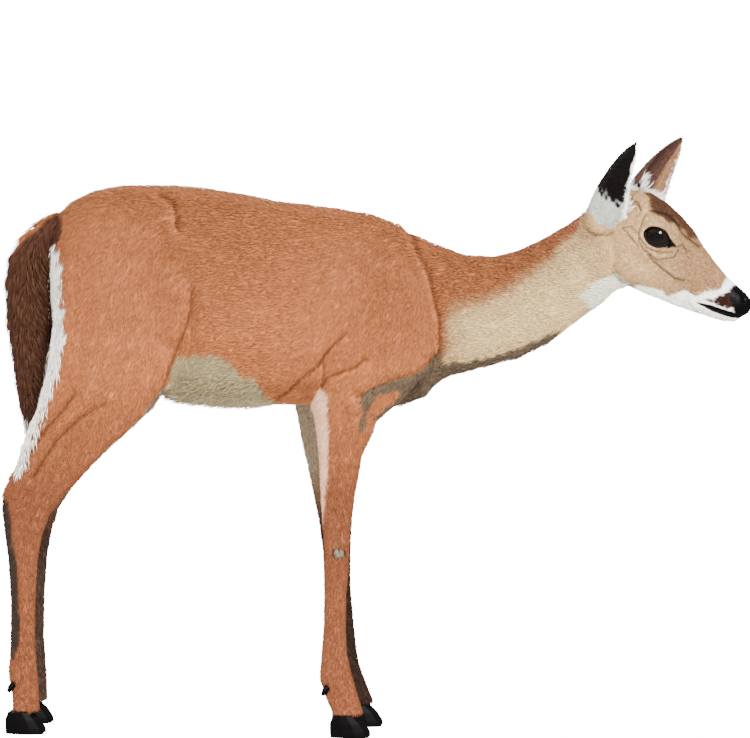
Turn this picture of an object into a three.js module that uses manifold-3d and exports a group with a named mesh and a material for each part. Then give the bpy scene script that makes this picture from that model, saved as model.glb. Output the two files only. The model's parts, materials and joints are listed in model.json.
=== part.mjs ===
// A life-size white-tailed deer doe standing square, in summer coat, as closed solids.
// Millimetres, +X towards the head, +Y towards the doe's left, +Z up, soles on Z = 0.
// The whole body is lofted and joined first, straight along the X axis, then parted by thin cuts
// into the pieces a person would name, and last the neck and head are turned a little to the right.
import * as THREE from 'three';
import { LoftGeometry } from 'three/addons/geometries/LoftGeometry.js';
import { mergeVertices } from 'three/addons/utils/BufferGeometryUtils.js';
import Module from 'manifold-3d';

const wasm = await Module();
wasm.setup();

// ---------------------------------------------------------------- driving dimensions
const GAP = 0.3; // thin cut between neighbouring pieces
const REACH = 2000; // size of a cutting block, larger than the whole doe
const HEAD_TURN = THREE.MathUtils.degToRad(12); // the head looks this far to its right
const TURN_FROM = 180; // the neck is straight up to here along X
const TURN_TO = 335; // and fully turned from here on
const FORE_Y = 74; // the forefeet stand this far from the midline
const HIND_Y = 72; // and the hind feet this far
// The left foot is set ahead of the right one by `step`, and its leg leans back by `lean` for each
// mm of height; `front` and `back` then move the leg's two edges, as rows of [height, mm].
const LEFT_FORE = {
  step: 8,
  lean: 0.085,
  front: [[90, -2], [120, 2], [145, 7], [235, 6], [280, 5], [343, 11], [430, 6], [520, 0]],
  back: [[360, 0], [409, -4], [480, -11], [510, -10], [550, -4], [600, 0]],
};
const LEFT_HIND = {
  step: -9,
  lean: -0.015,
  front: [[350, 0], [398, -5], [440, -7], [486, -6], [540, 0]],
  back: [],
};
const LEG_FREE = 560; // above this height the lean fades out
const LEG_TOP = 830; // and is gone here

const EYE = { x: 484, y: 31, z: 829, r: 24 };
const EYE_OPENING = { wide: 41, high: 29, tilt: THREE.MathUtils.degToRad(-22) };
const EAR = {
  half: 33, // widest half width, less the tip's own
  tip: 3, // half width of the tip
  bow: 8, // how far its middle bows back
  wall: 6, // thickness at the root
  edge: 3.2, // and at the tip
  rootSpan: 2.75, // half angle of the crescent at the root, in radians
  tipSpan: 1.15, // and towards the tip
};
// The ears turn on their own: the left one points further ahead and opens more to the front.
// `inward` is how much the cup faces the midline.
const EARS = {
  right: { side: -1, root: [362, 44, 853], tip: [468, 126, 984], inward: 1.0 },
  left: { side: 1, root: [391, 44, 858], tip: [484, 128, 990], inward: 0.6 },
};
// The lower jaw in side view: along the mouth from the lips, round the jaw's angle and below it.
const JAW = [[660, 700], [612, 702], [575, 709], [538, 722], [430, 766], [404, 752], [404, 640],
  [660, 640]];
const CLAW = { length: 66, half: 12.5, height: 37, apart: 1.6 };
const DEWCLAW = { length: 24, half: 8 };

// ---------------------------------------------------------------- colours
const paint = (color, roughness) => new THREE.MeshStandardMaterial({ color, roughness, metalness: 0 });
const COAT = paint(0xb9764e, 0.85);
const COAT_PALE = paint(0xc4a27e, 0.85);
const LEG_COAT = paint(0xa86d47, 0.85);
const TAIL_COAT = paint(0x5a3a2a, 0.9);
const EAR_COAT = paint(0x2b2220, 0.9);
const NOSE_SKIN = paint(0x15100f, 0.4);
const HORN = paint(0x191513, 0.5);
const EYE_GLASS = paint(0x150c08, 0.08);

// ---------------------------------------------------------------- lofting
// A station is one cross section: its outline points over and under in side view, how far its
// centre is from the midline (y), its half width on the outer and inner side, the share of its
// depth where it is widest, and how square it is above and below (2 is an ellipse).
const station = (over, under, out, more = {}) =>
  ({ over, under, y: 0, out, inn: out, widest: 0.5, ridge: 2, keel: 2, ...more });

// Points round a ring, one for each equal step of the angle.
const around = (count, pointAt) =>
  Array.from({ length: count }, (_, i) => pointAt((2 * Math.PI * i) / count));

const rounded = (value, squareness) => Math.sign(value) * Math.abs(value) ** (2 / squareness);

// The points of one station. `side` is 1 on the doe's left and -1 on its right.
function ring(s, count, side, grow) {
  const over = new THREE.Vector3(s.over[0], 0, s.over[1]);
  const under = new THREE.Vector3(s.under[0], 0, s.under[1]);
  const depth = over.distanceTo(under);
  return around(count, (angle) => {
    const squareness = Math.cos(angle) > 0 ? s.ridge : s.keel;
    const along = rounded(Math.cos(angle), squareness);
    const aside = rounded(Math.sin(angle), squareness);
    const share = along > 0 ? s.widest + along * (1 - s.widest) : s.widest * (1 + along);
    const half = (aside > 0 ? s.out : s.inn) + grow;
    const point = under.clone().lerp(over, share + (along * grow) / depth);
    point.y = side * (s.y + aside * half);
    return point;
  });
}

function loft(stations, { points, side = 1, grow = 0 }) {
  const rings = stations.map((s) => ring(s, points, side, grow));
  return skinned(lengthened(rings, grow));
}

const middleOf = (points) =>
  points.reduce((sum, p) => sum.add(p), new THREE.Vector3()).divideScalar(points.length);

// Rings whose two end ones are moved outwards, so that a grown loft grows at its caps too.
function lengthened(rings, grow) {
  const moved = (ring, next) => {
    const out = middleOf(ring).sub(middleOf(next)).setLength(grow);
    return ring.map((p) => p.clone().add(out));
  };
  const inner = rings.slice(1, -1);
  return [moved(rings[0], inner[0]), ...inner, moved(rings.at(-1), inner.at(-1))];
}

// A capped loft through sections, each turned round if they run the wrong way for its walls.
function skinned(sections) {
  const [here, next] = sections.slice(0, 2).map(middleOf);
  const normal = new THREE.Vector3();
  sections[0].forEach((p, i, ring) => {
    const [a, b] = [p, ring[(i + 1) % ring.length]].map((q) => q.clone().sub(here));
    normal.add(a.cross(b));
  });
  const clockwise = normal.dot(next.sub(here)) < 0;
  const rings = clockwise ? sections.map((ring) => [...ring].reverse()) : sections;
  return solid(new LoftGeometry(rings, { capStart: true, capEnd: true }));
}

// ---------------------------------------------------------------- solids
// A closed three.js geometry as a manifold, whichever way round its faces were.
function solid(geometry) {
  const bare = geometry.index ? geometry.toNonIndexed() : geometry.clone();
  bare.deleteAttribute('normal');
  bare.deleteAttribute('uv');
  const merged = mergeVertices(bare, 1e-3);
  const build = (triVerts) =>
    new wasm.Manifold(
      new wasm.Mesh({ numProp: 3, vertProperties: merged.attributes.position.array, triVerts }),
    );
  const made = build(new Uint32Array(merged.index.array));
  return made.volume() > 0 ? made : build(new Uint32Array(merged.index.array).reverse());
}

function geometryOf(manifold) {
  const { vertProperties, triVerts } = manifold.getMesh();
  return new THREE.BufferGeometry()
    .setAttribute('position', new THREE.BufferAttribute(vertProperties, 3))
    .setIndex(new THREE.BufferAttribute(triVerts, 1));
}

// An ellipsoid muscle or bone mass. `pitch` turns it in side view, nose up.
function mass([x, y, z], [long, wide, high], pitch = 0) {
  const shape = new THREE.SphereGeometry(1, 8, 6);
  shape.scale(long, wide, high);
  shape.rotateY(-THREE.MathUtils.degToRad(pitch));
  return solid(shape.translate(x, y, z));
}

const joined = (parts) => parts.reduce((all, next) => all.add(next));

// Everything beyond the side-view line from a to b, on the left hand as one goes from a to b.
function beyond(a, b, grow) {
  const along = new THREE.Vector2(b[0] - a[0], b[1] - a[1]).normalize();
  const away = new THREE.Vector2(-along.y, along.x);
  const corner = (s, t) =>
    new THREE.Vector2(...a).addScaledVector(along, s).addScaledVector(away, t);
  const [near, far] = [-grow, REACH];
  const outline = [corner(-REACH, near), corner(REACH, near), corner(REACH, far), corner(-REACH, far)];
  return prism(outline, -REACH, REACH);
}

// What one leg holds below the side-view line from front to back.
function below(side, front, back, grow) {
  const margin = 40;
  const slope = (front[1] - back[1]) / (front[0] - back[0]);
  const height = (x) => back[1] + slope * (x - back[0]) + grow;
  const outline = [back[0] - margin, front[0] + margin].map((x) => new THREE.Vector2(x, height(x)));
  const floor = [front[0] + margin, back[0] - margin].map((x) => new THREE.Vector2(x, -margin));
  return side > 0 ? prism([...outline, ...floor], 0, REACH) : prism([...outline, ...floor], -REACH, 0);
}

// A side-view outline made into a block from yLow to yHigh.
function prism(outline, yLow, yHigh) {
  const block = new THREE.ExtrudeGeometry(new THREE.Shape(outline), {
    depth: yHigh - yLow,
    bevelEnabled: false,
    curveSegments: 10,
  });
  // The shape's own x and y become X and Z, and its depth runs towards -Y.
  return solid(block.rotateX(Math.PI / 2).translate(0, yHigh, 0));
}

// A muscle's smooth outline on one flank, as a block from `depth` off the midline outwards.
function patchBlock(corners, side, depth, grow) {
  const count = 14;
  const curve = new THREE.CatmullRomCurve3(corners.map(([x, z]) => new THREE.Vector3(x, z, 0)), true);
  const rim = curve.getSpacedPoints(count).slice(0, count);
  const middle = rim.reduce((sum, p) => sum.add(p), new THREE.Vector3()).divideScalar(count);
  const outline = rim.map((p) => {
    const out = p.clone().add(p.clone().sub(middle).setLength(grow));
    return new THREE.Vector2(out.x, out.y);
  });
  return side > 0 ? prism(outline, depth - grow, REACH) : prism(outline, -REACH, grow - depth);
}

// ---------------------------------------------------------------- trunk, neck and head
function trunk() {
  const at = (x, top, under, half, widest, ridge, keel) =>
    station([x, top], [x, under], half, { widest, ridge, keel });
  return loft(
    [
      at(-541, 800, 716, 22, 0.5, 2, 2), // under the tail
      at(-534, 845, 660, 50, 0.52, 2, 2),
      at(-520, 873, 622, 76, 0.55, 2, 2), // pin bones
      at(-502, 887, 602, 91, 0.57, 2, 2),
      at(-466, 903, 584, 100, 0.58, 2.1, 2),
      at(-420, 911, 566, 107, 0.58, 2.2, 2), // croup
      at(-370, 912, 554, 112, 0.56, 2.2, 2),
      at(-320, 911, 547, 117, 0.53, 2.2, 2.1), // loin
      at(-270, 906, 541, 123, 0.5, 2.1, 2.1),
      at(-215, 897, 539, 127, 0.48, 2.05, 2.1), // deepest part of the barrel
      at(-160, 886, 541, 127, 0.47, 2, 2.1),
      at(-105, 880, 544, 121, 0.47, 1.95, 2),
      at(-50, 873, 546, 110, 0.47, 1.85, 1.95), // withers
      at(0, 864, 546, 99, 0.46, 1.8, 1.9),
      at(45, 846, 548, 88, 0.45, 1.85, 1.85),
      at(85, 825, 566, 76, 0.45, 1.9, 1.85),
      at(118, 800, 588, 60, 0.46, 2, 1.9), // breast
      at(145, 768, 626, 38, 0.48, 2, 2),
    ],
    { points: 16 },
  );
}

function neck() {
  return loft(
    [
      station([18, 850], [36, 575], 74, { widest: 0.45 }),
      station([92, 820], [122, 594], 67, { widest: 0.45, ridge: 1.8 }),
      station([150, 799], [183, 610], 60, { widest: 0.45, ridge: 1.8 }),
      station([200, 796], [242, 626], 54, { widest: 0.46, ridge: 1.85 }),
      station([242, 808], [289, 650], 50, { widest: 0.47, ridge: 1.9 }),
      station([284, 828], [329, 680], 47, { widest: 0.48 }),
      station([326, 852], [371, 710], 46, { widest: 0.5 }),
      station([362, 876], [407, 737], 46, { widest: 0.52 }),
      station([398, 890], [424, 762], 40, { widest: 0.54 }),
    ],
    { points: 14 },
  );
}

function skull() {
  const head = loft(
    [
      station([396, 884], [394, 796], 34, { widest: 0.5 }), // nape
      station([407, 898], [404, 764], 44, { widest: 0.56, ridge: 2.2, keel: 1.9 }),
      station([431, 905], [418, 748], 50, { widest: 0.6, ridge: 2.3, keel: 1.75 }), // poll
      station([459, 902], [436, 739], 53, { widest: 0.61, ridge: 2.4, keel: 1.7 }),
      station([488, 885], [459, 730], 53, { widest: 0.61, ridge: 2.4, keel: 1.65 }), // brow
      station([513, 864], [480, 723], 45, { widest: 0.57, ridge: 2.3, keel: 1.7 }),
      station([535, 840], [502, 715], 37, { widest: 0.53, ridge: 2.2, keel: 1.8 }),
      station([553, 812], [523, 709], 31.5, { widest: 0.5, ridge: 2.1, keel: 1.9 }), // bridge
      station([572, 787], [544, 702], 28, { widest: 0.5, ridge: 2.1, keel: 2 }),
      station([590, 766], [566, 694], 26, { widest: 0.5, ridge: 2.2, keel: 2 }),
      station([607, 750], [588, 689], 26, { widest: 0.54, ridge: 2.4, keel: 2 }), // nostrils
      station([620, 739], [606, 690], 23, { widest: 0.55, ridge: 2.4, keel: 2 }),
      station([629, 729], [624, 701], 15, { widest: 0.55, ridge: 2.2, keel: 2 }),
      station([633, 720], [632, 711], 5, { widest: 0.5 }),
    ],
    { points: 16 },
  );
  const masses = [head];
  for (const side of [-1, 1]) {
    masses.push(mass([470, side * 42, 855], [30, 14, 14], -28)); // brow over the eye
    masses.push(mass([474, side * 40, 801], [38, 13, 14], -14)); // cheekbone under it
    masses.push(mass([440, side * 27, 786], [42, 20, 36], -30)); // chewing muscle
    masses.push(mass([378, side * 40, 851], [27, 20, 29], 20)); // cushion that the ear stands on
  }
  masses.push(mass([412, 0, 758], [34, 20, 18], 20)); // throat behind the jaw
  return joined(masses);
}

// ---------------------------------------------------------------- legs
// Right foreleg: blade, point of shoulder, elbow, knee, cannon, fetlock and pastern.
const FORELEG = [
  station([4, 838], [-36, 842], 9, { y: 34, inn: 12 }),
  station([54, 796], [-58, 782], 27, { y: 58, inn: 30 }),
  station([96, 730], [-74, 700], 34, { y: 68, inn: 40 }),
  station([113, 664], [-86, 640], 38, { y: 66, inn: 40 }), // point of the shoulder
  station([98, 606], [-98, 592], 37, { y: 66, inn: 38 }),
  station([54, 558], [-104, 554], 33, { y: 68, inn: 34 }), // elbow
  station([16, 524], [-95, 524], 28, { y: 71, inn: 28 }),
  station([-12, 467], [-88, 467], 23, { y: 73, inn: 23 }), // forearm
  station([-24, 402], [-85, 402], 19.5, { y: 74, inn: 19.5 }),
  station([-33, 338], [-81, 338], 17.5, { y: 74, inn: 17 }),
  station([-35, 300], [-79, 298], 19, { y: 74, inn: 18, ridge: 2.3, keel: 2.3 }), // knee
  station([-37, 268], [-79, 266], 18.5, { y: 74, inn: 17.5, ridge: 2.3, keel: 2.3 }),
  station([-40, 236], [-79, 236], 14.5, { y: 74 }),
  station([-40.5, 180], [-80.5, 180], 13, { y: 74 }), // cannon
  station([-38.5, 138], [-84, 134], 14, { y: 74 }),
  station([-32, 108], [-87, 98], 18, { y: 74, ridge: 2.3, keel: 2.3 }), // fetlock
  station([-24, 79], [-76, 64], 17.5, { y: 74, ridge: 2.3 }),
  station([-17, 56], [-66, 42], 19, { y: 74, ridge: 2.4, keel: 2.4 }), // pastern
  station([-12, 40], [-66, 24], 21, { y: 74, ridge: 2.6, keel: 2.6 }),
];

// Right hind leg: haunch, stifle, gaskin, hock, cannon, fetlock and pastern.
const HINDLEG = [
  station([-400, 878], [-495, 862], 12, { y: 50, inn: 24 }),
  station([-345, 836], [-520, 818], 36, { y: 62, inn: 40 }),
  station([-305, 770], [-528, 752], 50, { y: 62, inn: 50 }), // haunch
  station([-292, 700], [-532, 682], 53, { y: 62, inn: 50 }),
  station([-300, 634], [-542, 608], 50, { y: 64, inn: 48 }),
  station([-330, 578], [-558, 545], 43, { y: 68, inn: 42 }), // stifle
  station([-372, 530], [-577, 500], 34, { y: 71, inn: 33 }),
  station([-420, 486], [-590, 462], 26, { y: 72, inn: 25 }),
  station([-468, 440], [-604, 430], 20.5, { y: 72, inn: 20 }), // gaskin
  station([-507, 398], [-617, 402], 18, { y: 72, ridge: 2.3, keel: 1.8 }),
  station([-532, 366], [-617, 374], 18.5, { y: 72, ridge: 2.3, keel: 2 }), // hock
  station([-546, 332], [-612, 336], 17.5, { y: 72, ridge: 2.2, keel: 2.2 }),
  station([-554, 288], [-606, 288], 14.5, { y: 72 }),
  station([-558.5, 216], [-602, 216], 13, { y: 72 }), // cannon
  station([-559, 146], [-603, 142], 14, { y: 72 }),
  station([-556, 108], [-606, 98], 18, { y: 72, ridge: 2.3, keel: 2.3 }), // fetlock
  station([-554, 79], [-600, 64], 17.5, { y: 72, ridge: 2.3 }),
  station([-553, 56], [-599, 42], 19, { y: 72, ridge: 2.4, keel: 2.4 }), // pastern
  station([-552, 40], [-604, 24], 21, { y: 72, ridge: 2.6, keel: 2.6 }),
];

// How far a leg is moved along X at a height.
function lean({ step, lean: slope }, z) {
  const fade = 1 - THREE.MathUtils.smoothstep(z, LEG_FREE, LEG_TOP);
  return (step - slope * Math.min(z, LEG_FREE)) * fade;
}

// The value at a height in rows of [height, value], which is 0 outside them.
function valueAt(rows, z) {
  const above = rows.findIndex(([height]) => height >= z);
  if (above < 1) return 0;
  const [[z0, low], [z1, high]] = [rows[above - 1], rows[above]];
  return THREE.MathUtils.mapLinear(z, z0, z1, low, high);
}

const shifted = (stance, [x, z], edge = []) => [x + lean(stance, z) + valueAt(edge, z), z];

const leaning = (stations, stance) =>
  stations.map((s) => ({
    ...s,
    over: shifted(stance, s.over, stance.front),
    under: shifted(stance, s.under, stance.back),
  }));

// Where a leg's joints part it, from the ground up, as a front and a back point in side view, and
// the outline of the shoulder or haunch on the flank, which starts `depth` off the midline.
const FORE = {
  stations: FORELEG,
  toe: -1,
  y: FORE_Y,
  depth: 34,
  cuts: [
    ['pastern', [-26, 100], [-82, 78]],
    ['cannon', [-34, 284], [-80, 280]],
    ['forearm', [20, 512], [-98, 528]],
  ],
  top: 'shoulder',
  patch: [[-8, 842], [60, 802], [104, 735], [124, 660], [108, 590], [66, 545], [30, 480], [-60, 470],
    [-115, 530], [-112, 610], [-92, 700], [-58, 800]],
};
const HIND = {
  stations: HINDLEG,
  toe: -543,
  y: HIND_Y,
  depth: 24,
  cuts: [
    ['pastern', [-550, 100], [-606, 78]],
    ['cannon', [-530, 352], [-622, 352]],
    ['gaskin', [-358, 508], [-584, 486]],
  ],
  top: 'thigh',
  patch: [[-400, 886], [-330, 850], [-288, 775], [-276, 690], [-288, 610], [-324, 550], [-370, 470],
    [-500, 420], [-610, 470], [-600, 600], [-600, 760], [-520, 862]],
};
const SQUARE = { step: 0, lean: 0, front: [], back: [] };

function leg(name, side, make, stance) {
  const move = (point) => shifted(stance, point);
  return {
    ...make,
    name,
    side,
    stations: leaning(make.stations, stance),
    toe: make.toe + stance.step,
    cuts: make.cuts.map(([what, front, back]) => [what, move(front), move(back)]),
    patch: make.patch.map(move),
  };
}

const LEGS = [
  leg('fore_right', -1, FORE, SQUARE),
  leg('fore_left', 1, FORE, LEFT_FORE),
  leg('hind_right', -1, HIND, SQUARE),
  leg('hind_left', 1, HIND, LEFT_HIND),
];

// ---------------------------------------------------------------- feet
// One claw of the hoof, its sole flat on the floor. `hand` is 1 for the claw on the leg's left.
function claw(leg, hand, grow = 0) {
  const levels = [
    { z: -grow, front: 0, back: CLAW.length, half: CLAW.half },
    { z: 9, front: 1, back: CLAW.length + 1, half: CLAW.half },
    { z: 24, front: 11, back: CLAW.length + 1, half: CLAW.half - 1 },
    { z: CLAW.height + grow, front: 25, back: CLAW.length - 4, half: CLAW.half - 4 },
  ];
  const middle = leg.side * leg.y + hand * (CLAW.half * 0.8 + CLAW.apart);
  const sections = levels.map(({ z, front, back, half }) =>
    around(10, (angle) => {
      const share = (1 - Math.cos(angle)) / 2; // 0 at the toe and 1 at the heel
      const width = Math.sqrt(Math.sin(Math.PI * Math.min(1, share) ** 0.8));
      const lateral = Math.sin(angle) > 0 ? half * 1.15 : -half * 0.8;
      const x = leg.toe - front - (back - front) * share + (1 - 2 * share) * grow;
      const y = middle + hand * (lateral + Math.sign(lateral) * grow) * width;
      return new THREE.Vector3(x, y, z);
    }),
  );
  return skinned(sections);
}

// A dewclaw: a blunt cone behind the pastern that points down and out.
function dewclaw(leg, hand, grow = 0) {
  const [x, z] = leg.stations.at(-3).under;
  const shape = new THREE.SphereGeometry(1, 6, 4);
  shape.scale(DEWCLAW.half * 0.75 + grow, DEWCLAW.half * 0.8 + grow, DEWCLAW.length / 2 + grow);
  shape.rotateY(0.5).rotateX(0.25 * hand);
  return solid(shape.translate(x + 1, leg.side * leg.y + hand * 11, z + 14));
}

// ---------------------------------------------------------------- tail, ears and eyes
function tail(grow = 0) {
  return loft(
    [
      station([-514, 842], [-530, 872], 17),
      station([-527, 824], [-561, 853], 25),
      station([-530, 804], [-588, 830], 33),
      station([-530, 780], [-606, 800], 39),
      station([-529, 752], [-616, 760], 45),
      station([-531, 700], [-616, 694], 49),
      station([-536, 646], [-609, 642], 49),
      station([-544, 592], [-602, 592], 43),
      station([-556, 548], [-595, 545], 30),
      station([-566, 512], [-588, 508], 16),
      station([-574, 494], [-584, 492], 6),
    ],
    { points: 12, grow },
  );
}

// An ear, made in its own frame: +Z to the tip, +X where its cup opens. Each ring is a crescent,
// nearly closed at the root and flattening to the pointed tip.
function ear({ side, root: foot, tip, inward }, grow = 0) {
  const rows = 9;
  const arcPoints = 7;
  const root = new THREE.Vector3(foot[0], side * foot[1], foot[2]);
  const up = new THREE.Vector3(tip[0], side * tip[1], tip[2]).sub(root);
  const length = up.length();
  const sections = Array.from({ length: rows }, (_, row) => {
    const h = row / (rows - 1);
    const span = THREE.MathUtils.lerp(EAR.rootSpan, EAR.tipSpan, Math.min(1, h * 1.35) ** 0.7);
    const broad = EAR.tip + EAR.half * Math.sin(Math.PI * Math.min(1, 0.2 + 0.8 * h ** 0.85)) ** 0.75;
    const radius = broad / Math.sin(Math.min(span, Math.PI / 2));
    const thick = Math.min(THREE.MathUtils.lerp(EAR.wall, EAR.edge, h), broad * 0.8);
    const bow = EAR.bow * Math.sin(Math.PI * h);
    const height = h * length + (2 * h - 1) * grow;
    const arc = (r, i) => {
      const angle = Math.PI + (span + grow / radius) * ((2 * i) / (arcPoints - 1) - 1);
      return new THREE.Vector3(radius + r * Math.cos(angle) - bow, r * Math.sin(angle), height);
    };
    const steps = [...Array(arcPoints).keys()];
    const outer = steps.map((i) => arc(radius + grow, i));
    const inner = steps.reverse().map((i) => arc(radius - thick - grow, i));
    return [...outer, ...inner];
  });
  up.normalize();
  const opens = new THREE.Vector3(1, -side * inward, 0);
  opens.addScaledVector(up, -opens.dot(up)).normalize();
  const across = new THREE.Vector3().crossVectors(up, opens);
  const place = new THREE.Matrix4().makeBasis(opens, across, up).setPosition(root);
  return skinned(sections.map((ring) => ring.map((p) => p.applyMatrix4(place))));
}

function eyeball(side, grow = 0) {
  const ball = new THREE.SphereGeometry(EYE.r + grow, 12, 8);
  return solid(ball.rotateX(Math.PI / 2).translate(EYE.x, side * EYE.y, EYE.z));
}

// The almond between the lids, as a block that reaches outwards from the eyeball's middle.
function eyeOpening(side) {
  const rim = around(12, (angle) => {
    const x = (EYE_OPENING.wide / 2) * Math.cos(angle);
    const z = (EYE_OPENING.high / 2) * rounded(Math.sin(angle), 1.7);
    const spot = new THREE.Vector2(x, z).rotateAround(new THREE.Vector2(), EYE_OPENING.tilt);
    return spot.add(new THREE.Vector2(EYE.x, EYE.z));
  });
  return side > 0 ? prism(rim, EYE.y, REACH) : prism(rim, -REACH, -EYE.y);
}

// ---------------------------------------------------------------- the body in one, then its parts
const pieces = new Map();
const limbs = LEGS.map((leg) => loft(leg.stations, { points: 10, side: leg.side }));
let body = joined([trunk(), neck(), skull(), ...limbs]);

const keep = (name, manifold, material, turns = false) => pieces.set(name, { manifold, material, turns });
const biggest = (manifold) =>
  manifold.decompose().reduce((best, next) => (next.volume() > best.volume() ? next : best));

// Sets a separate shape into the body, which gets a hollow for it that is wider by the cut.
function setIn(name, shape, material, turns) {
  keep(name, shape(0), material, turns);
  body = body.subtract(shape(GAP));
}

// Takes out of the body what lies in a block. The body keeps what lies outside the grown block.
function part(name, block, material, turns) {
  keep(name, biggest(body.intersect(block(0))), material, turns);
  body = body.subtract(block(GAP));
}

setIn('tail', tail, TAIL_COAT);
for (const leg of LEGS) {
  for (const [which, hand] of [['outer', leg.side], ['inner', -leg.side]]) {
    setIn(`hoof_${leg.name}_${which}`, (grow) => claw(leg, hand, grow), HORN);
    setIn(`dewclaw_${leg.name}_${which}`, (grow) => dewclaw(leg, hand, grow), HORN);
  }
  for (const [what, front, back] of leg.cuts) {
    part(`${what}_${leg.name}`, (grow) => below(leg.side, front, back, grow), LEG_COAT);
  }
  part(`${leg.top}_${leg.name}`, (grow) => patchBlock(leg.patch, leg.side, leg.depth, grow), COAT);
}

for (const [name, make] of Object.entries(EARS)) {
  keep(`eye_${name}`, eyeball(make.side), EYE_GLASS, true);
  body = body.subtract(eyeOpening(make.side)).subtract(eyeball(make.side, GAP));
  setIn(`ear_${name}`, (grow) => ear(make, grow), EAR_COAT, true);
}
const jaw = (grow) => prism(JAW.map(([x, z]) => new THREE.Vector2(x, z + grow)), -REACH, REACH);
part('jaw', jaw, COAT_PALE, true);
part('nose', (grow) => beyond([598, 770], [615, 690], grow), NOSE_SKIN, true);
part('head', (grow) => beyond([352, 910], [420, 740], grow), COAT_PALE, true);
part('neck', (grow) => beyond([92, 835], [185, 610], grow), COAT_PALE, true);
part('chest', (grow) => beyond([-125, 900], [-125, 500], grow), COAT);
part('belly', (grow) => beyond([-268, 900], [-268, 500], grow), COAT);
keep('rump', biggest(body), COAT);

// ---------------------------------------------------------------- the turned head, and the meshes
// The midline of the turned neck: where a point of the straight midline goes, and its heading.
function midline(x) {
  const steps = 40;
  const end = Math.min(x, TURN_TO);
  const spot = new THREE.Vector2(Math.min(x, TURN_FROM), 0);
  const heading = (s) => HEAD_TURN * THREE.MathUtils.smoothstep(s, TURN_FROM, TURN_TO);
  const go = (angle, length) => {
    spot.x += Math.cos(angle) * length;
    spot.y -= Math.sin(angle) * length;
  };
  for (let i = 0; end > TURN_FROM && i < steps; i++) {
    const step = (end - TURN_FROM) / steps;
    go(heading(TURN_FROM + (i + 0.5) * step), step);
  }
  if (x > TURN_TO) go(HEAD_TURN, x - TURN_TO);
  return { spot, angle: heading(x) };
}

function turned(geometry) {
  const p = geometry.getAttribute('position');
  for (let i = 0; i < p.count; i++) {
    const { spot, angle } = midline(p.getX(i));
    const y = p.getY(i);
    p.setXY(i, spot.x + y * Math.sin(angle), spot.y + y * Math.cos(angle));
  }
  return geometry;
}

const doe = new THREE.Group();
for (const [name, { manifold, material, turns }] of pieces) {
  const geometry = geometryOf(manifold);
  const mesh = new THREE.Mesh(turns ? turned(geometry) : geometry, material);
  mesh.name = name;
  doe.add(mesh);
}
const bounds = new THREE.Box3().setFromObject(doe);
const middle = bounds.getCenter(new THREE.Vector3());
doe.position.set(-middle.x, -middle.y, -bounds.min.z);

export default doe;
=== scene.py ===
# %% [markdown]
# # A white-tailed deer doe in summer coat
# The doe stands still, at life size. The frame is a set of plain solids, one for each region of
# the body, that reach out to the tips of the hair. This lesson dresses them: one smooth skin lies
# inside the solids of flesh, short hair lies over the skin in thousands of small solid tufts, and
# eyes, hooves and lashes are pieces of their own. Everything is in metres, +X towards the head,
# +Y towards the doe's left side and +Z up.

# %% Load the frame
import json
import math
import time

import bmesh
import bpy
import numpy as np
from mathutils import Matrix, Vector
from mathutils.bvhtree import BVHTree

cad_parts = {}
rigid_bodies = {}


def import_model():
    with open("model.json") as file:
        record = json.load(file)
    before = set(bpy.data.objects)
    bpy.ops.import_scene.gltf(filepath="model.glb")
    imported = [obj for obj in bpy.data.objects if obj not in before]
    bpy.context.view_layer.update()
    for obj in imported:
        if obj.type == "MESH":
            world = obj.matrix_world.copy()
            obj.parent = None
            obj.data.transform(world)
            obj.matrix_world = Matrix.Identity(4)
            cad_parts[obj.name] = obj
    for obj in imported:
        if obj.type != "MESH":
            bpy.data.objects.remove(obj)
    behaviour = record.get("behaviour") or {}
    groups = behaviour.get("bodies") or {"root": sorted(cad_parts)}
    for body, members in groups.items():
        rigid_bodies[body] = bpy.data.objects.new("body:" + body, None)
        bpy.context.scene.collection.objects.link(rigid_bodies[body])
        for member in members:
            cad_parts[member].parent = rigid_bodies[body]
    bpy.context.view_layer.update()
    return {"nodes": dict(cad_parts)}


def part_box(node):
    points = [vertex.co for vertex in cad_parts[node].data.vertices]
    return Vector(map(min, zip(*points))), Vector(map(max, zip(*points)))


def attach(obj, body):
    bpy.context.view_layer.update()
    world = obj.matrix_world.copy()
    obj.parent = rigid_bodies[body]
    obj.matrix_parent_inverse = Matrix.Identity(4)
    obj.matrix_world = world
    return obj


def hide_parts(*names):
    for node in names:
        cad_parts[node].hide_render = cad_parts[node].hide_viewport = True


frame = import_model()
nodes = frame["nodes"]
started = time.time()
MM = 0.001

# %% [markdown]
# The camera stands to the doe's right, a little ahead of square on and a little above the floor.
# A long lens from eight metres away keeps the near and far legs almost the same size, as in a
# natural history plate.

# %% Camera
CAMERA_AZIMUTH = math.radians(5)
CAMERA_ELEVATION = math.radians(3.5)
CAMERA_DISTANCE = 8.646
CAMERA_LENS = 250
CAMERA_TARGET = Vector((-0.0027, 0.0213, 0.605))

camera_data = bpy.data.cameras.new("camera")
camera_data.lens = CAMERA_LENS
camera_data.clip_end = 100
camera = bpy.data.objects.new("camera", camera_data)
bpy.context.scene.collection.objects.link(camera)
level = math.cos(CAMERA_ELEVATION)
back = Vector((math.sin(CAMERA_AZIMUTH) * level, -math.cos(CAMERA_AZIMUTH) * level, math.sin(CAMERA_ELEVATION)))
camera.location = CAMERA_TARGET + back * CAMERA_DISTANCE
camera.rotation_euler = (-back).to_track_quat("-Z", "Y").to_euler()
bpy.context.scene.camera = camera
print("camera at", [round(c, 3) for c in camera.location])

# %% [markdown]
# The stage is a wide pale floor under a pale sky. A large soft lamp high on the camera's side
# models the body, a second one fills the far side, and the bright sky keeps the shadows open.

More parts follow.
